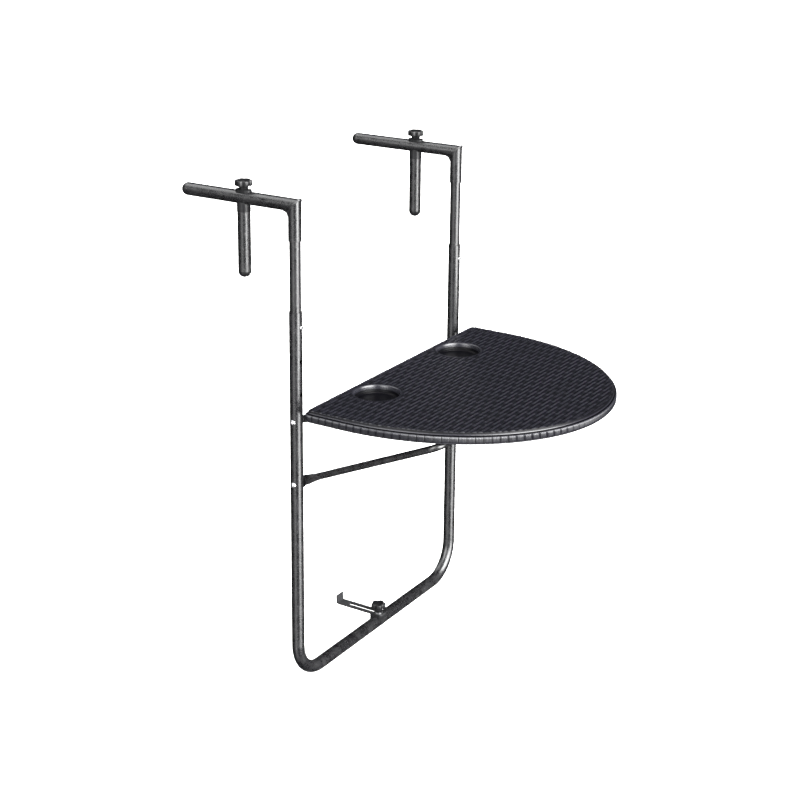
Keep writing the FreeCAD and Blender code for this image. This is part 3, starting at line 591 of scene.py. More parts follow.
class Skin:
    """A surface that grows ring by ring."""

    def __init__(self, points: np.ndarray, faces: list[Face]) -> None:
        """Starts from a finished stretch.

        Args:
            points: Its vertices.
            faces: Its faces.
        """
        self.stretches = [points]
        self.faces = faces
        self.count = len(points)

    @classmethod
    def over(cls, rings: Sequence[np.ndarray]) -> tuple["Skin", range]:
        """A skin over a row of rings, open at both ends.

        Args:
            rings: Rings of as many points, in order.

        Returns:
            The skin and the vertex numbers of its last ring.
        """
        skin = cls(rings[0], [])
        edge = range(len(rings[0]))
        for ring in rings[1:]:
            edge = skin.grow(edge, ring)
        return skin, edge

    def grow(self, edge: Sequence[int], ring: np.ndarray) -> range:
        """Joins a new ring to an edge.

        Args:
            edge: The vertex numbers along the edge.
            ring: The new ring's points, in step with the edge.

        Returns:
            The new ring's vertex numbers, which are the next edge.
        """
        added = range(self.count, self.count + len(ring))
        self.faces += bridge(edge, added)
        self.stretches.append(ring)
        self.count += len(ring)
        return added

    def fill(self, edge: Sequence[int]) -> None:
        """Closes an edge with one flat face."""
        self.faces.append(tuple(edge))

    def fan(self, edge: Sequence[int], outer: bool) -> None:
        """Closes an edge with triangles that meet in its middle.

        Args:
            edge: The vertex numbers along the edge.
            outer: Whether the edge is the last ring's, and not the first ring's.
        """
        middle = np.vstack(self.stretches)[list(edge)].mean(0)
        self.stretches.append(middle[None])
        for here, after in zip(edge, [*edge[1:], edge[0]]):
            self.faces.append((self.count, here, after) if outer else (self.count, after, here))
        self.count += 1

    def piece(self, name: str, crease: float = 40.0) -> bpy.types.Object:
        """Makes the skin a piece of the scene, smooth except where it turns sharply.

        Args:
            name: The piece's name.
            crease: The angle in degrees above which an edge stays sharp.

        Returns:
            The piece.
        """
        mesh = bpy.data.meshes.new(name)
        mesh.from_pydata(np.vstack(self.stretches).tolist(), [], self.faces)
        piece = bpy.data.objects.new(name, mesh)
        bpy.context.scene.collection.objects.link(piece)
        smooth(piece, crease)
        return piece


def smooth(piece: bpy.types.Object, crease: float) -> None:
    """Makes a piece's faces point outwards and shades it smooth between sharp edges.

    Args:
        piece: The piece.
        crease: The angle in degrees above which an edge stays sharp.
    """
    work = bmesh.new()
    work.from_mesh(piece.data)
    bmesh.ops.recalc_face_normals(work, faces=work.faces)
    for face in work.faces:
        face.smooth = True
    limit = math.radians(crease)
    for edge in work.edges:
        edge.smooth = len(edge.link_faces) == 2 and edge.calc_face_angle(0.0) < limit
    work.to_mesh(piece.data)
    work.free()


@dataclass
class Weave:
    """The plaited relief of the top: cords across it that dip under every fourth upright pair.

    The pitches and the depth are in metres, and the other values are shares of them. A cord stays down
    for dip_half to each side of its crossing and comes up over dip_climb. The upright pair shows for
    stake_half to each side, as high as stake_rise. A value named round is the power that shapes a
    crown: the lower it is, the flatter the crown.
    """

    row_pitch: float = 0.0079
    stake_pitch: float = 0.0122
    repeat: int = 4
    depth: float = 0.0015
    dip_half: float = 0.34
    dip_climb: float = 0.3
    swell: float = 0.08
    cord_round: float = 0.75
    stake_half: float = 0.5
    stake_rise: float = 0.55
    stake_round: float = 0.6
    arch_width: float = 1.3
    arch_round: float = 0.7

    def relief(self, x: np.ndarray, y: np.ndarray) -> tuple[np.ndarray, np.ndarray]:
        """How high the weave stands at each place.

        Args:
            x: Places across the top.
            y: Places out from the railing.

        Returns:
            The height, 1 at the crowns and 0 in the gaps, and 1 where a cord runs along Y.
        """
        row = np.floor(y / self.row_pitch)
        across = y / self.row_pitch - row - 0.5
        half = self.repeat / 2
        stake = x / self.stake_pitch + np.where(row % 2 == 0, 0.0, half)
        phase = np.mod(stake + half, self.repeat) - half
        gone = np.abs(phase)
        over = np.clip((gone - self.dip_half) / self.dip_climb, 0, 1)
        over = over * over * (3 - 2 * over)
        swell = 1 - self.swell + self.swell * np.cos(2 * math.pi * phase)
        cord = over * swell * np.cos(math.pi * np.clip(across, -0.5, 0.5)) ** self.cord_round
        pair = np.abs(np.sin(2 * math.pi * phase)) ** self.stake_round
        arch = np.cos(math.pi * np.clip(across / self.arch_width, -0.5, 0.5)) ** self.arch_round
        dip = np.where(gone < self.stake_half, self.stake_rise * pair * arch, 0.0)
        return np.maximum(cord, dip), (dip > cord).astype(float)


@dataclass
class Outline:
    """The outline of the top, with straight sides and a bowed front, sampled evenly."""

    half_width: float
    back: float
    front: float
    corner: float
    straight: float
    power: float
    shrink: float
    bow_steps: int = 6001
    corner_steps: int = 60
    points: np.ndarray = field(init=False)
    inward: np.ndarray = field(init=False)

    def edge(self) -> np.ndarray:
        """The outline in fine steps, from the left end of the bow round to it again.

        Returns:
            The points, with the first one repeated at the end.
        """
        spring = self.back - self.corner
        widest = spring - self.straight
        depth = widest - self.front
        turn = np.linspace(-math.pi / 2, math.pi / 2, self.bow_steps)
        power = 2 / self.power
        bow = np.stack([
            np.sign(turn) * self.half_width * np.abs(np.sin(turn)) ** power,
            widest - depth * np.maximum(np.cos(turn), 0) ** power,
        ], 1)
        quarter = np.linspace(0, math.pi / 2, self.corner_steps)
        flat = self.half_width - self.corner
        right = np.stack([flat + self.corner * np.cos(quarter), spring + self.corner * np.sin(quarter)], 1)
        left = np.stack([-right[::-1, 0], right[::-1, 1]], 1)
        return np.vstack([bow, right, left, bow[:1]])

    def trace(self, spacing: float, multiple: int) -> None:
        """Samples the outline at even steps.

        Args:
            spacing: The distance between samples.
            multiple: What the number of samples is a multiple of.
        """
        run = self.edge()
        length = np.concatenate([[0], np.cumsum(np.hypot(*np.diff(run, axis=0).T))])
        count = multiple * round(length[-1] / spacing / multiple)
        at = np.arange(count) * length[-1] / count
        points = np.stack([np.interp(at, length, run[:, axis]) for axis in (0, 1)], 1)
        heading = np.roll(points, -1, 0) - np.roll(points, 1, 0)
        heading /= np.linalg.norm(heading, axis=1)[:, None]
        self.inward = np.stack([-heading[:, 1], heading[:, 0]], 1)
        self.points = points + self.inward * self.shrink

    def inset(self, by: float | np.ndarray) -> np.ndarray:
        """The outline drawn in by a distance."""
        return self.points + self.inward * np.reshape(by, (-1, 1))


def clearance(places: np.ndarray, loop: np.ndarray) -> np.ndarray:
    """How far each place is from the nearest sample of a loop.

    Args:
        places: The places.
        loop: The loop.

    Returns:
        One distance per place.
    """
    found = np.empty(len(places))
    for part in batches(len(places)):
        gap = places[part][:, None, :] - loop[None, :, :]
        found[part] = np.sqrt((gap ** 2).sum(-1).min(1))
    return found


def inside(places: np.ndarray, loop: np.ndarray, margin: float = 0.0) -> np.ndarray:
    """Whether each place lies inside a loop, and at least a margin from its samples.

    Args:
        places: The places to test.
        loop: The loop.
        margin: The least distance to a sample of the loop.

    Returns:
        One truth value per place.
    """
    x, y = places[:, 0], places[:, 1]
    crossings = np.zeros(len(places), int)
    for one, two in zip(loop, np.roll(loop, -1, 0)):
        spans = (one[1] > y) != (two[1] > y)
        if one[1] != two[1]:
            at = one[0] + (y - one[1]) / (two[1] - one[1]) * (two[0] - one[0])
            crossings += spans & (x < at)
    within = crossings % 2 == 1
    if margin > 0:
        within[within] &= clearance(places[within], loop) > margin
    return within


@dataclass
class WovenTop:
    """The moulded top: plaited field, corded rim and the CAD part's own cups, ribs and bosses.

    The relief shares are of the weave's or the bands' depth, and the tones follow the weave's height as
    painted shade and highlight: 0 is the darkest gap and 1 a crown.
    """

    wardrobe: Wardrobe
    weave: Weave = field(default_factory=Weave)
    corner: float = 0.016
    straight: float = 0.0586
    power: float = 2.03
    cup_radius: float = 0.0375
    cup_spacing: float = 0.278
    cup_setback: float = 0.0566
    cup_mouth: float = 0.0056
    cup_depth: float = 0.0075
    cup_steps: int = 96
    collar: float = 0.004
    band_pitch: float = 0.0135
    band_steps: int = 18
    band_depth: float = 0.0010
    gap_share: tuple[float, float, float, float] = (0.9, 0.45, 0.3, 0.1)
    line_share: float = 0.5
    line_steps: int = 3
    crown_share: float = 0.14
    field_drop: float = 0.0009
    field_sink: float = 0.00035
    border_low: float = 0.0060
    border_fade: float = 0.0015
    border_relief: float = 0.6
    grid_parts: int = 6
    grid_clear: float = 0.8
    skin_gap: float = 0.0001
    crease: float = 38.0
    rim_reach: float = 0.0015
    smooth_tone: float = 0.30
    # Painted highlight on the cup walls and painted shade on the cup floors, as tones.
    cup_wall_highlight_tone: float = 0.85
    cup_floor_shade_tone: float = 0.06

    def profile(self) -> np.ndarray:
        """The rim's section, from the plaited field over the border and down its side.

        Returns:
            One row per point: how far in, how far below the top, its share of the bands and its tone. The
                tone is painted light: high on the shoulder edge, the roll top and the lip as painted
                highlight, and low in the groove as painted shade.
        """
        return np.array([
            (0.0130, 0.00110, 0.0, 0.5), (0.0124, 0.00105, 0.0, 0.5), (0.0117, 0.00070, 0.0, 0.5),
            (0.0110, 0.00030, 0.0, 0.5), (0.0102, 0.00010, 0.0, 0.5), (0.0093, 0.00010, 0.0, 0.5),
            (0.0084, 0.00028, 0.0, 0.3), (0.0076, 0.00070, 0.0, 0.2), (0.0069, 0.00140, 0.0, 0.15),
            (0.0064, 0.00220, 0.0, 0.15), (0.0061, 0.00300, 0.0, 0.15), (0.0058, 0.0036, 0.0, 0.25),
            (0.0054, 0.0041, 0.0, 0.5), (0.0049, 0.0045, 0.0, 0.9), (0.00465, 0.0050, 0.0, 0.8),
            (0.0047, 0.0057, 0.0, 0.3), (0.0050, 0.0065, 0.0, 0.05), (0.0050, 0.0072, 0.0, 0.0),
            (0.0046, 0.0077, 0.0, 0.0), (0.0041, 0.0077, 0.2, 0.1), (0.0035, 0.0073, 0.6, 0.4),
            (0.0028, 0.0070, 1.0, 0.6), (0.0020, 0.0071, 1.0, 0.9), (0.0013, 0.0075, 1.0, 1.3),
            (0.0007, 0.0083, 1.0, 1.2), (0.0003, 0.0093, 1.0, 0.9), (0.00012, 0.0107, 1.0, 0.65),
            (0.0001, 0.0130, 1.0, 0.65), (0.0001, 0.0152, 1.0, 0.65), (0.00035, 0.0167, 0.9, 0.65),
            (0.0009, 0.0174, 0.4, 0.3), (0.00045, 0.01785, 0.0, 1.5), (0.0009, 0.0187, 0.0, 1.2),
            (0.0018, 0.0196, 0.0, 0.3), (0.0030, 0.0201, 0.0, 0.2), (0.0046, 0.0202, 0.0, 0.3),
            (0.0075, 0.0202, 0.0, 0.4), (0.0075, 0.0225, 0.0, 0.4),
        ])

    def mouth(self) -> list[tuple[float, float]]:
        """The section of a cup well's mouth, from the plaited field down into the well.

        Returns:
            How far outside the well's wall and how far below the top each point lies.
        """
        return [
            (0.0042, 0.0013), (0.0034, 0.0016), (0.0028, 0.0021), (0.0023, 0.0028), (0.0020, 0.0037),
            (0.0017, 0.0050), (0.0014, 0.0070), (0.0010, 0.0092), (0.0004, 0.0114), (-0.0004, 0.0130),
        ]

    def bands(self, count: int) -> np.ndarray:
        """The rim's bands: a sharp gap between them, fine cords along each and a rounded crown.

        Args:
            count: How many samples there are round the rim.

        Returns:
            How deep the rim is cut at each sample.
        """
        step = np.arange(count) % self.band_steps
        places = [step == 0, step == 1, step == self.band_steps - 1, step == 2]
        gap = np.select(places, self.gap_share, 0.0)
        lines = np.where(step % self.line_steps == 0, self.line_share, 0.0)
        crown = self.crown_share * (1 - np.sin(math.pi * step / self.band_steps))
        return self.band_depth * np.maximum(gap, lines) * (1 - self.crown_share) + self.band_depth * crown

    def cups(self, back: float) -> list[np.ndarray]:
        """The centres of the two cup wells."""
        return [np.array([side * self.cup_spacing / 2, back - self.cup_setback]) for side in (-1, 1)]

    def ring_radius(self) -> float:
        """The radius at which a cup well's mouth meets the plaited field."""
        return self.cup_radius + self.cup_mouth

    def grid_step(self) -> np.ndarray:
        """The spacing of the field's points along X and Y."""
        return np.array([self.weave.stake_pitch, self.weave.row_pitch]) / self.grid_parts

    def field_grid(self, loop: np.ndarray, cups: list[np.ndarray]) -> np.ndarray:
        """The field's points, in step with the weave and clear of every edge.

        Args:
            loop: The rim's inner edge.
            cups: The centres of the cup wells.

        Returns:
            The points.
        """
        step = self.grid_step()
        low, high = np.ceil(loop.min(0) / step), np.floor(loop.max(0) / step)
        xs, ys = (np.arange(low[axis], high[axis] + 1) * step[axis] for axis in (0, 1))
        grid = np.stack(np.meshgrid(xs, ys), -1).reshape(-1, 2)
        clear = step[1] * self.grid_clear
        grid = grid[inside(grid, loop, clear)]
        for centre in cups:
            grid = grid[np.hypot(*(grid - centre).T) > self.ring_radius() + clear]
        return grid

    def field_drops(self, flat: np.ndarray, loop: np.ndarray, cups: list[np.ndarray]) -> np.ndarray:
        """How far below the top the field lies: plaited, and level next to each edge.

        Args:
            flat: The field's points.
            loop: The rim's inner edge.
            cups: The centres of the cup wells.

        Returns:
            One drop per point.
        """
        height, _ = self.weave.relief(flat[:, 0], flat[:, 1])
        plaited = self.field_drop + self.weave.depth * (1 - height)
        near = clearance(flat, loop)
        for centre in cups:
            near = np.minimum(near, np.hypot(*(flat - centre).T) - self.ring_radius())
        fade = np.clip(near / self.collar, 0, 1)
        return plaited * fade + (self.field_drop + self.field_sink) * (1 - fade)

    def field_skin(self, loop: np.ndarray, cups: list[np.ndarray], top: float) -> tuple[Skin, list[range]]:
        """The plaited field between the rim and the cup wells.

        Args:
            loop: The rim's inner edge.
            cups: The centres of the cup wells.
            top: The level of the top.

        Returns:
            The field, whose first points are the rim's inner edge, and the edge of each cup well.
        """
        rings = [centre + self.ring_radius() * circle(self.cup_steps) for centre in cups]
        points = np.vstack([loop, *rings, self.field_grid(loop, cups)])
        edges: list[tuple[int, int]] = []
        numbers: list[range] = []
        for part in (loop, *rings):
            start = len(edges)
            numbers.append(range(start, start + len(part)))
            edges += [(start + i, start + (i + 1) % len(part)) for i in range(len(part))]
        made = delaunay_2d_cdt([Vector(p) for p in points], edges, [], 0, SAME_POINT)
        flat = np.array([tuple(p) for p in made[0]])
        triangles = np.array(made[2])
        middle = flat[triangles].mean(1)
        kept = inside(middle, loop)
        for centre in cups:
            hole = self.ring_radius() * math.cos(math.pi / self.cup_steps)
            kept &= np.hypot(*(middle - centre).T) > hole
        shaped = np.column_stack([flat, top - self.field_drops(flat, loop, cups)])
        return Skin(shaped, [tuple(t) for t in triangles[kept].tolist()]), numbers[1:]

    def cutter(self, outline: Outline, top: float) -> bpy.types.Object:
        """A closed solid whose upper side and edge are the plaited field and the corded rim.

        Args:
            outline: The outline of the top.
            top: The level of the top.

        Returns:
            The solid as an object.
        """
        count = len(outline.points)
        cut = self.bands(count)
        loops = []
        for inset, drop, share, _ in self.profile():
            flat = outline.inset(inset + cut * share)
            height, _ = self.weave.relief(flat[:, 0], flat[:, 1])
            plaited = np.clip((inset - self.border_low) / self.border_fade, 0, 1)
            sink = plaited * self.border_relief * self.weave.depth * (1 - height)
            loops.append(np.column_stack([flat, top - drop - sink]))
        cups = self.cups(outline.back)
        skin, rims = self.field_skin(loops[0][:, :2], cups, top)
        skin.stretches[0][:count] = loops[0]
        edge: Sequence[int] = range(count)
        for ring in loops[1:]:
            edge = skin.grow(edge, ring)
        skin.fill(edge)
        for centre, rim in zip(cups, rims):
            edge = rim
            for outside, drop in self.mouth():
                flat = centre + (self.cup_radius + outside) * circle(self.cup_steps)
                edge = skin.grow(edge, np.column_stack([flat, np.full(self.cup_steps, top - drop)]))
            skin.fill(edge)
        return skin.piece("top_cutter")

    def carve(self, cutter: bpy.types.Object) -> bpy.types.Object:
        """Cuts a copy of the CAD top to the cutter's shape, and clears the cutter away.

        Args:
            cutter: The solid to keep the top within.

        Returns:
            The carved top.
        """
        source = bpy.data.objects["tabletop"]
        piece = bpy.data.objects.new("woven_top", source.data.copy())
        piece.data.materials.clear()
        bpy.context.scene.collection.objects.link(piece)
        work = bmesh.new()
        work.from_mesh(piece.data)
        bmesh.ops.remove_doubles(work, verts=work.verts, dist=SAME_VERTEX)
        work.to_mesh(piece.data)
        work.free()
        modifier = piece.modifiers.new("shape", "BOOLEAN")
        modifier.operation = "INTERSECT"
        modifier.solver = "MANIFOLD"
        modifier.object = cutter
        shaped = bpy.data.meshes.new_from_object(piece.evaluated_get(bpy.context.evaluated_depsgraph_get()))
        piece.modifiers.clear()
        piece.data = shaped
        bpy.data.objects.remove(cutter)
        shaped.name = "woven_top"
        smooth(piece, self.crease)
        return piece

    def rim_tones(self, places: np.ndarray, outline: Outline, top: float) -> np.ndarray:
        """The tone of each point of the rim: painted highlight on its rounded edges, painted shade in its
        groove and in the bands' gaps.

        Args:
            places: The points.
            outline: The outline of the top.
            top: The level of the top.

        Returns:
            One tone per point.
        """
        inset, drop, share, tone = self.profile().T
        cut = self.bands(len(outline.points))
        found = np.empty(len(places))
        for part in batches(len(places)):
            block = places[part]
            gap = block[:, None, :2] - outline.points[None, :, :]
            near = (gap ** 2).sum(-1).argmin(1)
            inward = (gap[np.arange(len(block)), near] * outline.inward[near]).sum(-1)
            away = np.hypot(inward[:, None] - cut[near][:, None] * share - inset,
                            (top - block[:, 2])[:, None] - drop)
            closest = away.argmin(1)
            # Painted shade, darker where the bands are cut in.
            shade = 1 - np.clip(cut[near] / self.band_depth, 0, 1) * share[closest]
            on_rim = away.min(1) < self.rim_reach
            found[part] = np.where(on_rim, tone[closest] * shade, self.smooth_tone)
        return found

    def tones(self, mesh: bpy.types.Mesh, outline: Outline, top: float) -> None:
        """Stores the tone of each point and which way its cord runs.

        Args:
            mesh: The finished top.
            outline: The outline of the top.
            top: The level of the top.
        """
        places = np.zeros(len(mesh.vertices) * 3)
        mesh.vertices.foreach_get("co", places)
        places = places.reshape(-1, 3)
        flat, level = places[:, :2], places[:, 2]
        crest, along = self.weave.relief(flat[:, 0], flat[:, 1])
        plaited = inside(flat, outline.inset(self.border_low), self.grid_step()[1] / 2)
        plaited &= level > top - self.field_drop - 2 * self.weave.depth
        plain = np.full(len(flat), self.smooth_tone)
        for centre in self.cups(outline.back):
            reach = np.hypot(*(flat - centre).T)
            plaited &= reach > self.ring_radius() + self.collar / 2
            # Painted shade on each cup well's floor, and painted highlight on its wall.
            plain[reach < self.cup_radius + self.cup_mouth / 2] = self.cup_floor_shade_tone
            walls = (np.abs(reach - self.cup_radius) < self.cup_mouth) & (level > top - self.cup_depth)
            plain[walls] = self.cup_wall_highlight_tone
        crest = np.where(plaited, crest, plain)
        along = np.where(plaited, along, 0.0)
        rim = np.flatnonzero(~inside(flat, outline.inset(self.border_low + self.border_fade)))
        crest[rim] = self.rim_tones(places[rim], outline, top)
        for name, values in (("crest", crest), ("along", along)):
            layer = mesh.attributes.new(name, "FLOAT", "POINT")
            layer.data.foreach_set("value", values.astype(np.float32))

    def build(self) -> None:
        """Carves the top, stores its tones and dresses it."""
        low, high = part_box("tabletop")
        outline = Outline(
            (high.x - low.x) / 2, high.y, low.y, self.corner, self.straight, self.power, self.skin_gap
        )
        outline.trace(self.band_pitch / self.band_steps, self.band_steps)
        piece = self.carve(self.cutter(outline, high.z))
        self.tones(piece.data, outline, high.z)
        self.wardrobe.dress(piece, "woven_moulding")
        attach(piece, Body.TABLE.value)
        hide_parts("tabletop")
        LOG.info("woven_top: %d faces", len(piece.data.polygons))


@dataclass
class LobedKnob:
    """A moulded knob: a scalloped, domed head on a fluted neck, bored for its screw.

    head is how deep the head is, scallop is the radius of the hollow between two lobes, and the middle
    of that hollow lies scallop_out of its radius outside the head.
    """

    wardrobe: Wardrobe
    name: str
    node: str
    body: Body
    lobes: int
    head: float
    neck_radius: float
    scallop: float
    scallop_out: float = 0.36
    flute: float = 0.05
    steps: int = 120
    soften: int = 2
    bore: float = 0.003
    bore_depth: float = 0.006
    within: float = 0.998
    skin_gap: float = 0.0001
    crease: float = 50.0

    def outline(self, radius: float) -> np.ndarray:
        """The head's radius at each step round it: a disc with a rounded scallop between lobes.

        Args:
            radius: The radius over the lobes.

        Returns:
            One radius per step.
        """
        pitch = 2 * math.pi / self.lobes
        off = np.mod(turns(self.steps), pitch) - pitch / 2
        ring = radius + self.scallop * self.scallop_out
        reach = self.scallop ** 2 - (ring * np.sin(off)) ** 2
        hollow = ring * np.cos(off) - np.sqrt(np.maximum(reach, 0))
        shape = np.where(reach > 0, np.minimum(hollow, radius), radius)
        for _ in range(self.soften):
            shape = (np.roll(shape, 1) + 2 * shape + np.roll(shape, -1)) / 4
        return shape

    def section(self, low: Vector, high: Vector) -> list[tuple[np.ndarray, float]]:
        """The knob's rings, from inside the bore, round the neck and over the head.

        Args:
            low: The lowest corner of the CAD knob.
            high: The highest corner of the CAD knob.

        Returns:
            Each ring's radius at every step, and its level.
        """
        radius = (high.x - low.x) / 2
        lobed = self.outline(radius * self.within)
        fluted = self.neck_radius * (1 - self.flute * (0.5 - 0.5 * np.cos(self.lobes * turns(self.steps))))
        even = np.ones(self.steps)
        foot = low.z + self.skin_gap
        brim = high.z - self.head
        top = high.z - self.skin_gap
        return [
            (even * self.bore, low.z + self.bore_depth),
            (even * self.bore, foot),
            (fluted - 0.0004, foot),
            (fluted, low.z + 0.0005),
            (fluted * 0.97, brim - 0.0012),
            (fluted + 0.0003, brim - 0.0004),
            (lobed * 0.72, brim),
            (lobed - 0.0012, brim + 0.0001),
            (lobed - 0.0004, brim + 0.0005),
            (lobed, brim + 0.0014),
            (lobed, top - 0.0034),
            (lobed - 0.00025, top - 0.0024),
            (lobed - 0.0008, top - 0.0015),
            (lobed - 0.0017, top - 0.0009),
            (lobed - 0.0029, top - 0.0006),
            (lobed * 0.25 + radius * 0.42, top - 0.00035),
            (even * radius * 0.46, top - 0.00015),
            (even * radius * 0.2, top),
        ]

    def build(self) -> None:
        """Skins the knob over its rings and dresses it."""
        low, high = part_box(self.node)
        centre = (low + high) / 2
        rings = []
        for radii, level in self.section(low, high):
            flat = np.array([centre.x, centre.y]) + circle(self.steps) * radii[:, None]
            rings.append(np.column_stack([flat, np.full(self.steps, level)]))
        skin, last = Skin.over(rings)
        skin.fan(range(self.steps), outer=False)
        skin.fan(last, outer=True)
        piece = skin.piece(self.name, self.crease)
        self.wardrobe.dress(piece, "moulded_plastic")
        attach(piece, self.body.value)
        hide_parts(self.node)
        LOG.info("%s: %d faces", self.name, len(piece.data.polygons))


@dataclass
class CornerWeld:
    """The rippled weld bead round the mitred corner of a hook.

    The bead's height and width are shares of its radius, and so are its fine ripple and slow wave.
    """

    wardrobe: Wardrobe
    name: str
    node: str
    body: Body
    tube: float = 0.011
    bead: float = 0.0013
    bead_height: float = 0.55
    bead_width: float = 1.25
    ripples: int = 30
    ripple: float = 0.10
    waves: int = 7
    wave: float = 0.05
    steps: int = 180
    sides: int = 10
    crease: float = 80.0

    def build(self) -> None:
        """Sweeps the bead round the mitre's ellipse and dresses it."""
        low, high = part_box(self.node)
        centre = np.array([(low.x + high.x) / 2, 0.0, high.z - self.tube])
        turn = turns(self.steps)
        line = centre + self.tube * np.stack([np.cos(turn), np.sin(turn), -np.sin(turn)], 1)
        heading = np.stack([-np.sin(turn), np.cos(turn), -np.cos(turn)], 1)
        heading /= np.linalg.norm(heading, axis=1)[:, None]
        across = np.array([0.0, 1.0, 1.0]) / math.sqrt(2)
        outward = np.cross(heading, across)
        ripple = 1 + self.ripple * np.sin(self.ripples * turn) + self.wave * np.sin(self.waves * turn + 1.0)
        strands = []
        for angle in turns(self.sides):
            height = self.bead * self.bead_height * math.cos(angle) * ripple
            width = self.bead * self.bead_width * math.sin(angle) * ripple
            strands.append(line + outward * height[:, None] + across * width[:, None])
        skin, last = Skin.over(strands)
        skin.faces += bridge(last, range(self.steps))
        piece = skin.piece(self.name, self.crease)
        self.wardrobe.dress(piece, "weld_coat")
        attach(piece, self.body.value)
        LOG.info("%s: %d faces", self.name, len(piece.data.polygons))


# The finish of each CAD part, by its name without its side; the others are plated
CAD_FINISHES = {
    "hammer_coat": ("u_frame", "hook", "peg_tube", "prop"),
    "inner_coat": ("inner_tube",),
    "moulded_plastic": (
        "arm_cap", "peg_cap", "peg_saddle", "slot_cover", "prop_catches", "prop_spacers", "brace_saddle",
        "clamp_knob", "brace_knob",
    ),
    "satin_coat": ("hinge_bracket", "brace_bar"),
    "spring_steel": ("snap_button",),
    "woven_moulding": ("tabletop",),
}


@dataclass
class CarriedParts:
    """The CAD parts whose shape stays, and the finish of each."""

    wardrobe: Wardrobe
    nodes: dict[str, bpy.types.Object]

    def finish_of(self, node: str) -> str:
        """The finish of one CAD part.

        Args:
            node: The part's name.

        Returns:
            The finish's name.
        """
        plain = node.removeprefix("left_").removeprefix("right_")
        found = (finish for finish, parts in CAD_FINISHES.items() if plain in parts)
        return next(found, "plated_steel")

    def build(self) -> None:
        """Dresses every CAD part in its finish."""
        for name, node in self.nodes.items():
            finish = self.finish_of(name)
            self.wardrobe.dress(node, finish)
            LOG.info("%s: %s", name, finish)


@dataclass(frozen=True)
class Panel:
    """One soft panel of light round the object.

    azimuth is the direction of its middle in degrees from +X towards +Y. It shines in full for half
    degrees to each side and fades out over soft more. low and high are the sines of its lower and
    upper edge above the horizon, and feather is how far these fade.
    """

    azimuth: float
    half: float
    soft: float
    low: float
    high: float
    power: float
    feather: float = 0.12

    def light(self, bench: NodeBench, way: Socket) -> Socket:
        """The panel's light in the direction looked in.

        Args:
            bench: The world's nodes.
            way: The direction looked in.

        Returns:
            The light, fading to nothing round the panel.
        """
        turn = math.radians(self.azimuth)
        level = bench.vector("MULTIPLY", way, (1.0, 1.0, 0.0))
        flat = bench.vector("NORMALIZE", level.outputs["Vector"])
        toward = bench.vector("DOT_PRODUCT", flat.outputs["Vector"], (math.cos(turn), math.sin(turn), 0.0))
        split = bench.node("ShaderNodeSeparateXYZ")
        bench.link(way, split.inputs["Vector"])
        height = split.outputs["Z"]
        sides = (math.cos(math.radians(self.half + self.soft)), math.cos(math.radians(self.half)))
        bottom = (self.low - self.feather, self.low + self.feather)
        top = (self.high + self.feather, self.high - self.feather)
        light: Socket | float = self.power
        for value, edge in ((toward.outputs["Value"], sides), (height, bottom), (height, top)):
            light = bench.combine(bench.remap(value, edge, (0.0, 1.0), "SMOOTHSTEP"), light, "MULTIPLY")
        return light


PANELS = [
    Panel(azimuth=-96.0, half=10.0, soft=13.0, low=-0.42, high=0.0, power=17.0),
    Panel(azimuth=-101.0, half=16.0, soft=22.0, low=0.0, high=0.90, power=22.0),
    Panel(azimuth=178.0, half=10.0, soft=16.0, low=-0.85, high=0.0, power=2.2),
    Panel(azimuth=172.0, half=12.0, soft=14.0, low=0.05, high=0.85, power=9.0),
    Panel(azimuth=-25.0, half=30.0, soft=28.0, low=-0.60, high=0.40, power=0.10),
    Panel(azimuth=93.0, half=27.0, soft=11.0, low=0.60, high=0.97, power=4.6, feather=0.08),
]


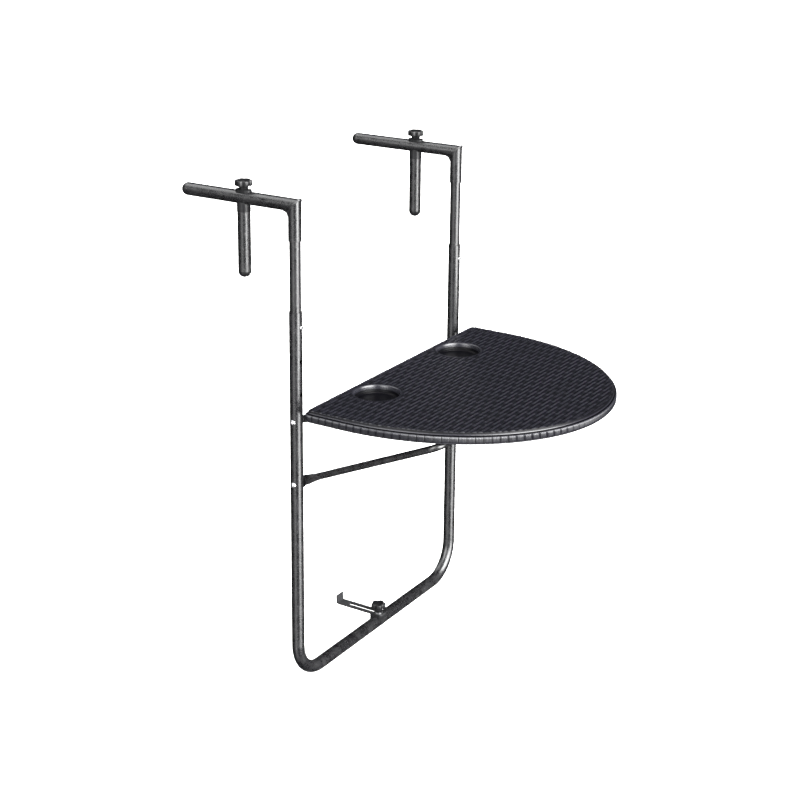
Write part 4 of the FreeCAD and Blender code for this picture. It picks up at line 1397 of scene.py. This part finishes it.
@dataclass
class Studio:
    """The camera, the pale floor and the soft light round the object.

    Angles are in degrees. The focal length, the picture's centre and its frame are in pixels of the
    photograph, and middle is the point that a lamp faces.
    """

    azimuth: float = -57.03607
    elevation: float = 16.61776
    roll: float = 0.17095
    place: Triple = (-2.41942, -1.52609, 0.64107)
    focal: float = 1688.505
    centre: Span = (360.0, 300.0)
    frame: float = 800.0
    sensor: float = 36.0
    clip: Span = (0.05, 200.0)
    floor_level: float = -1.05
    floor_radii: tuple[float, ...] = (40.0, 12.0, 4.0, 1.5, 0.5)
    floor_steps: int = 128
    floor_glow: float = 0.72
    backdrop: Colour = (0.98, 0.98, 0.98)
    dimness: float = 0.02
    middle: Triple = (0.0, -0.05, -0.35)

    def camera(self) -> None:
        """Sets the camera at the photograph's viewing point, found from its measured outline."""
        turn, tilt = math.radians(self.azimuth), math.radians(self.elevation)
        back = Vector((math.sin(turn) * math.cos(tilt), -math.cos(turn) * math.cos(tilt), math.sin(tilt)))
        right = Vector((math.cos(turn), math.sin(turn), 0.0))
        up = back.cross(right)
        lens = bpy.data.cameras.new("camera")
        lens.sensor_width = self.sensor
        lens.lens = self.focal * self.sensor / self.frame
        lens.shift_x = 0.5 - self.centre[0] / self.frame
        lens.shift_y = self.centre[1] / self.frame - 0.5
        lens.clip_start, lens.clip_end = self.clip
        camera = bpy.data.objects.new("camera", lens)
        bpy.context.scene.collection.objects.link(camera)
        axes = Matrix((right, up, back)).transposed() @ Matrix.Rotation(math.radians(self.roll), 3, "Z")
        camera.matrix_world = Matrix.Translation(Vector(self.place)) @ axes.to_4x4()
        bpy.context.scene.camera = camera

    def floor(self) -> None:
        """A wide pale disc below the object, which only the camera sees."""
        level = np.full(self.floor_steps, self.floor_level)
        rings = [np.column_stack([radius * circle(self.floor_steps), level]) for radius in self.floor_radii]
        skin, inner = Skin.over(rings)
        skin.fan(inner, outer=True)
        floor = skin.piece("floor")
        bench = MaterialBench("pale_floor")
        cloud = bench.noise(0.8, 2.0)
        colour = bench.ramp(cloud, [(0.0, (0.86, 0.86, 0.86)), (1.0, (0.90, 0.90, 0.90))])
        roughness = bench.remap(cloud, (0.0, 1.0), (0.7, 0.8))
        bench.shader.inputs["Emission Color"].default_value = (1.0, 1.0, 1.0, 1.0)
        bench.shader.inputs["Emission Strength"].default_value = self.floor_glow
        surface = bench.bump(bench.noise(40.0), 0.0005, 0.1)
        floor.data.materials.append(bench.finish(colour, roughness, surface))
        floor.visible_glossy = False
        floor.visible_diffuse = False
        floor.visible_shadow = False

    def sky(self) -> None:
        """A dark room with the light panels, and plain white for what the camera sees behind the object."""
        world = bpy.data.worlds.new("studio")
        bpy.context.scene.world = world
        world.use_nodes = True
        bench = NodeBench(world.node_tree)
        way = bench.node("ShaderNodeTexCoord").outputs["Generated"]
        room: Socket | float = self.dimness
        for panel in PANELS:
            room = bench.combine(panel.light(bench, way), room)
        lit = bench.node("ShaderNodeBackground")
        bench.link(room, lit.inputs["Strength"])
        seen = bench.node("ShaderNodeBackground")
        seen.inputs["Color"].default_value = (*self.backdrop, 1.0)
        choice = bench.node("ShaderNodeMixShader")
        bench.link(bench.node("ShaderNodeLightPath").outputs["Is Camera Ray"], choice.inputs[0])
        bench.link(lit.outputs[0], choice.inputs[1])
        bench.link(seen.outputs[0], choice.inputs[2])
        bench.link(choice.outputs[0], bench.node("ShaderNodeOutputWorld").inputs["Surface"])

    def lamp(self, name: str, place: Triple, size: Span, watts: float) -> None:
        """One soft lamp that faces the object.

        Args:
            name: Its name.
            place: Where it stands.
            size: Its width and height.
            watts: Its power.
        """
        light = bpy.data.lights.new(name, "AREA")
        light.shape = "RECTANGLE"
        light.size, light.size_y = size
        light.energy = watts
        lamp = bpy.data.objects.new(name, light)
        bpy.context.scene.collection.objects.link(lamp)
        lamp.location = place
        lamp.rotation_mode = "QUATERNION"
        lamp.rotation_quaternion = (Vector(self.middle) - Vector(place)).to_track_quat("-Z", "Y")
        lamp.visible_camera = False

    def build(self) -> None:
        """Sets up the camera, the floor and the light."""
        bpy.context.scene.view_settings.view_transform = "Standard"
        self.camera()
        self.floor()
        self.sky()
        self.lamp("overhead", place=(-0.3, -0.2, 2.2), size=(1.6, 1.6), watts=7.0)


def main() -> None:
    """Builds the looks round the frame, in order."""
    logging.basicConfig(level=logging.INFO, format="%(message)s")
    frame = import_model()
    Studio().build()
    wardrobe = Wardrobe()
    CarriedParts(wardrobe, frame["nodes"]).build()
    WovenTop(wardrobe).build()
    for side, hook, knob in (
        ("left", Body.LEFT_HOOK, Body.LEFT_KNOB),
        ("right", Body.RIGHT_HOOK, Body.RIGHT_KNOB),
    ):
        CornerWeld(wardrobe, f"{side}_corner_weld", f"{side}_hook", hook).build()
        LobedKnob(
            wardrobe, f"{side}_thumb_knob", f"{side}_clamp_knob", knob,
            lobes=6, head=0.0108, neck_radius=0.0078, scallop=0.0042,
        ).build()
    LobedKnob(
        wardrobe, "star_knob", "brace_knob", Body.BRACE_KNOB,
        lobes=5, head=0.0108, neck_radius=0.0075, scallop=0.0048,
    ).build()


if __name__ == "__main__":
    main()
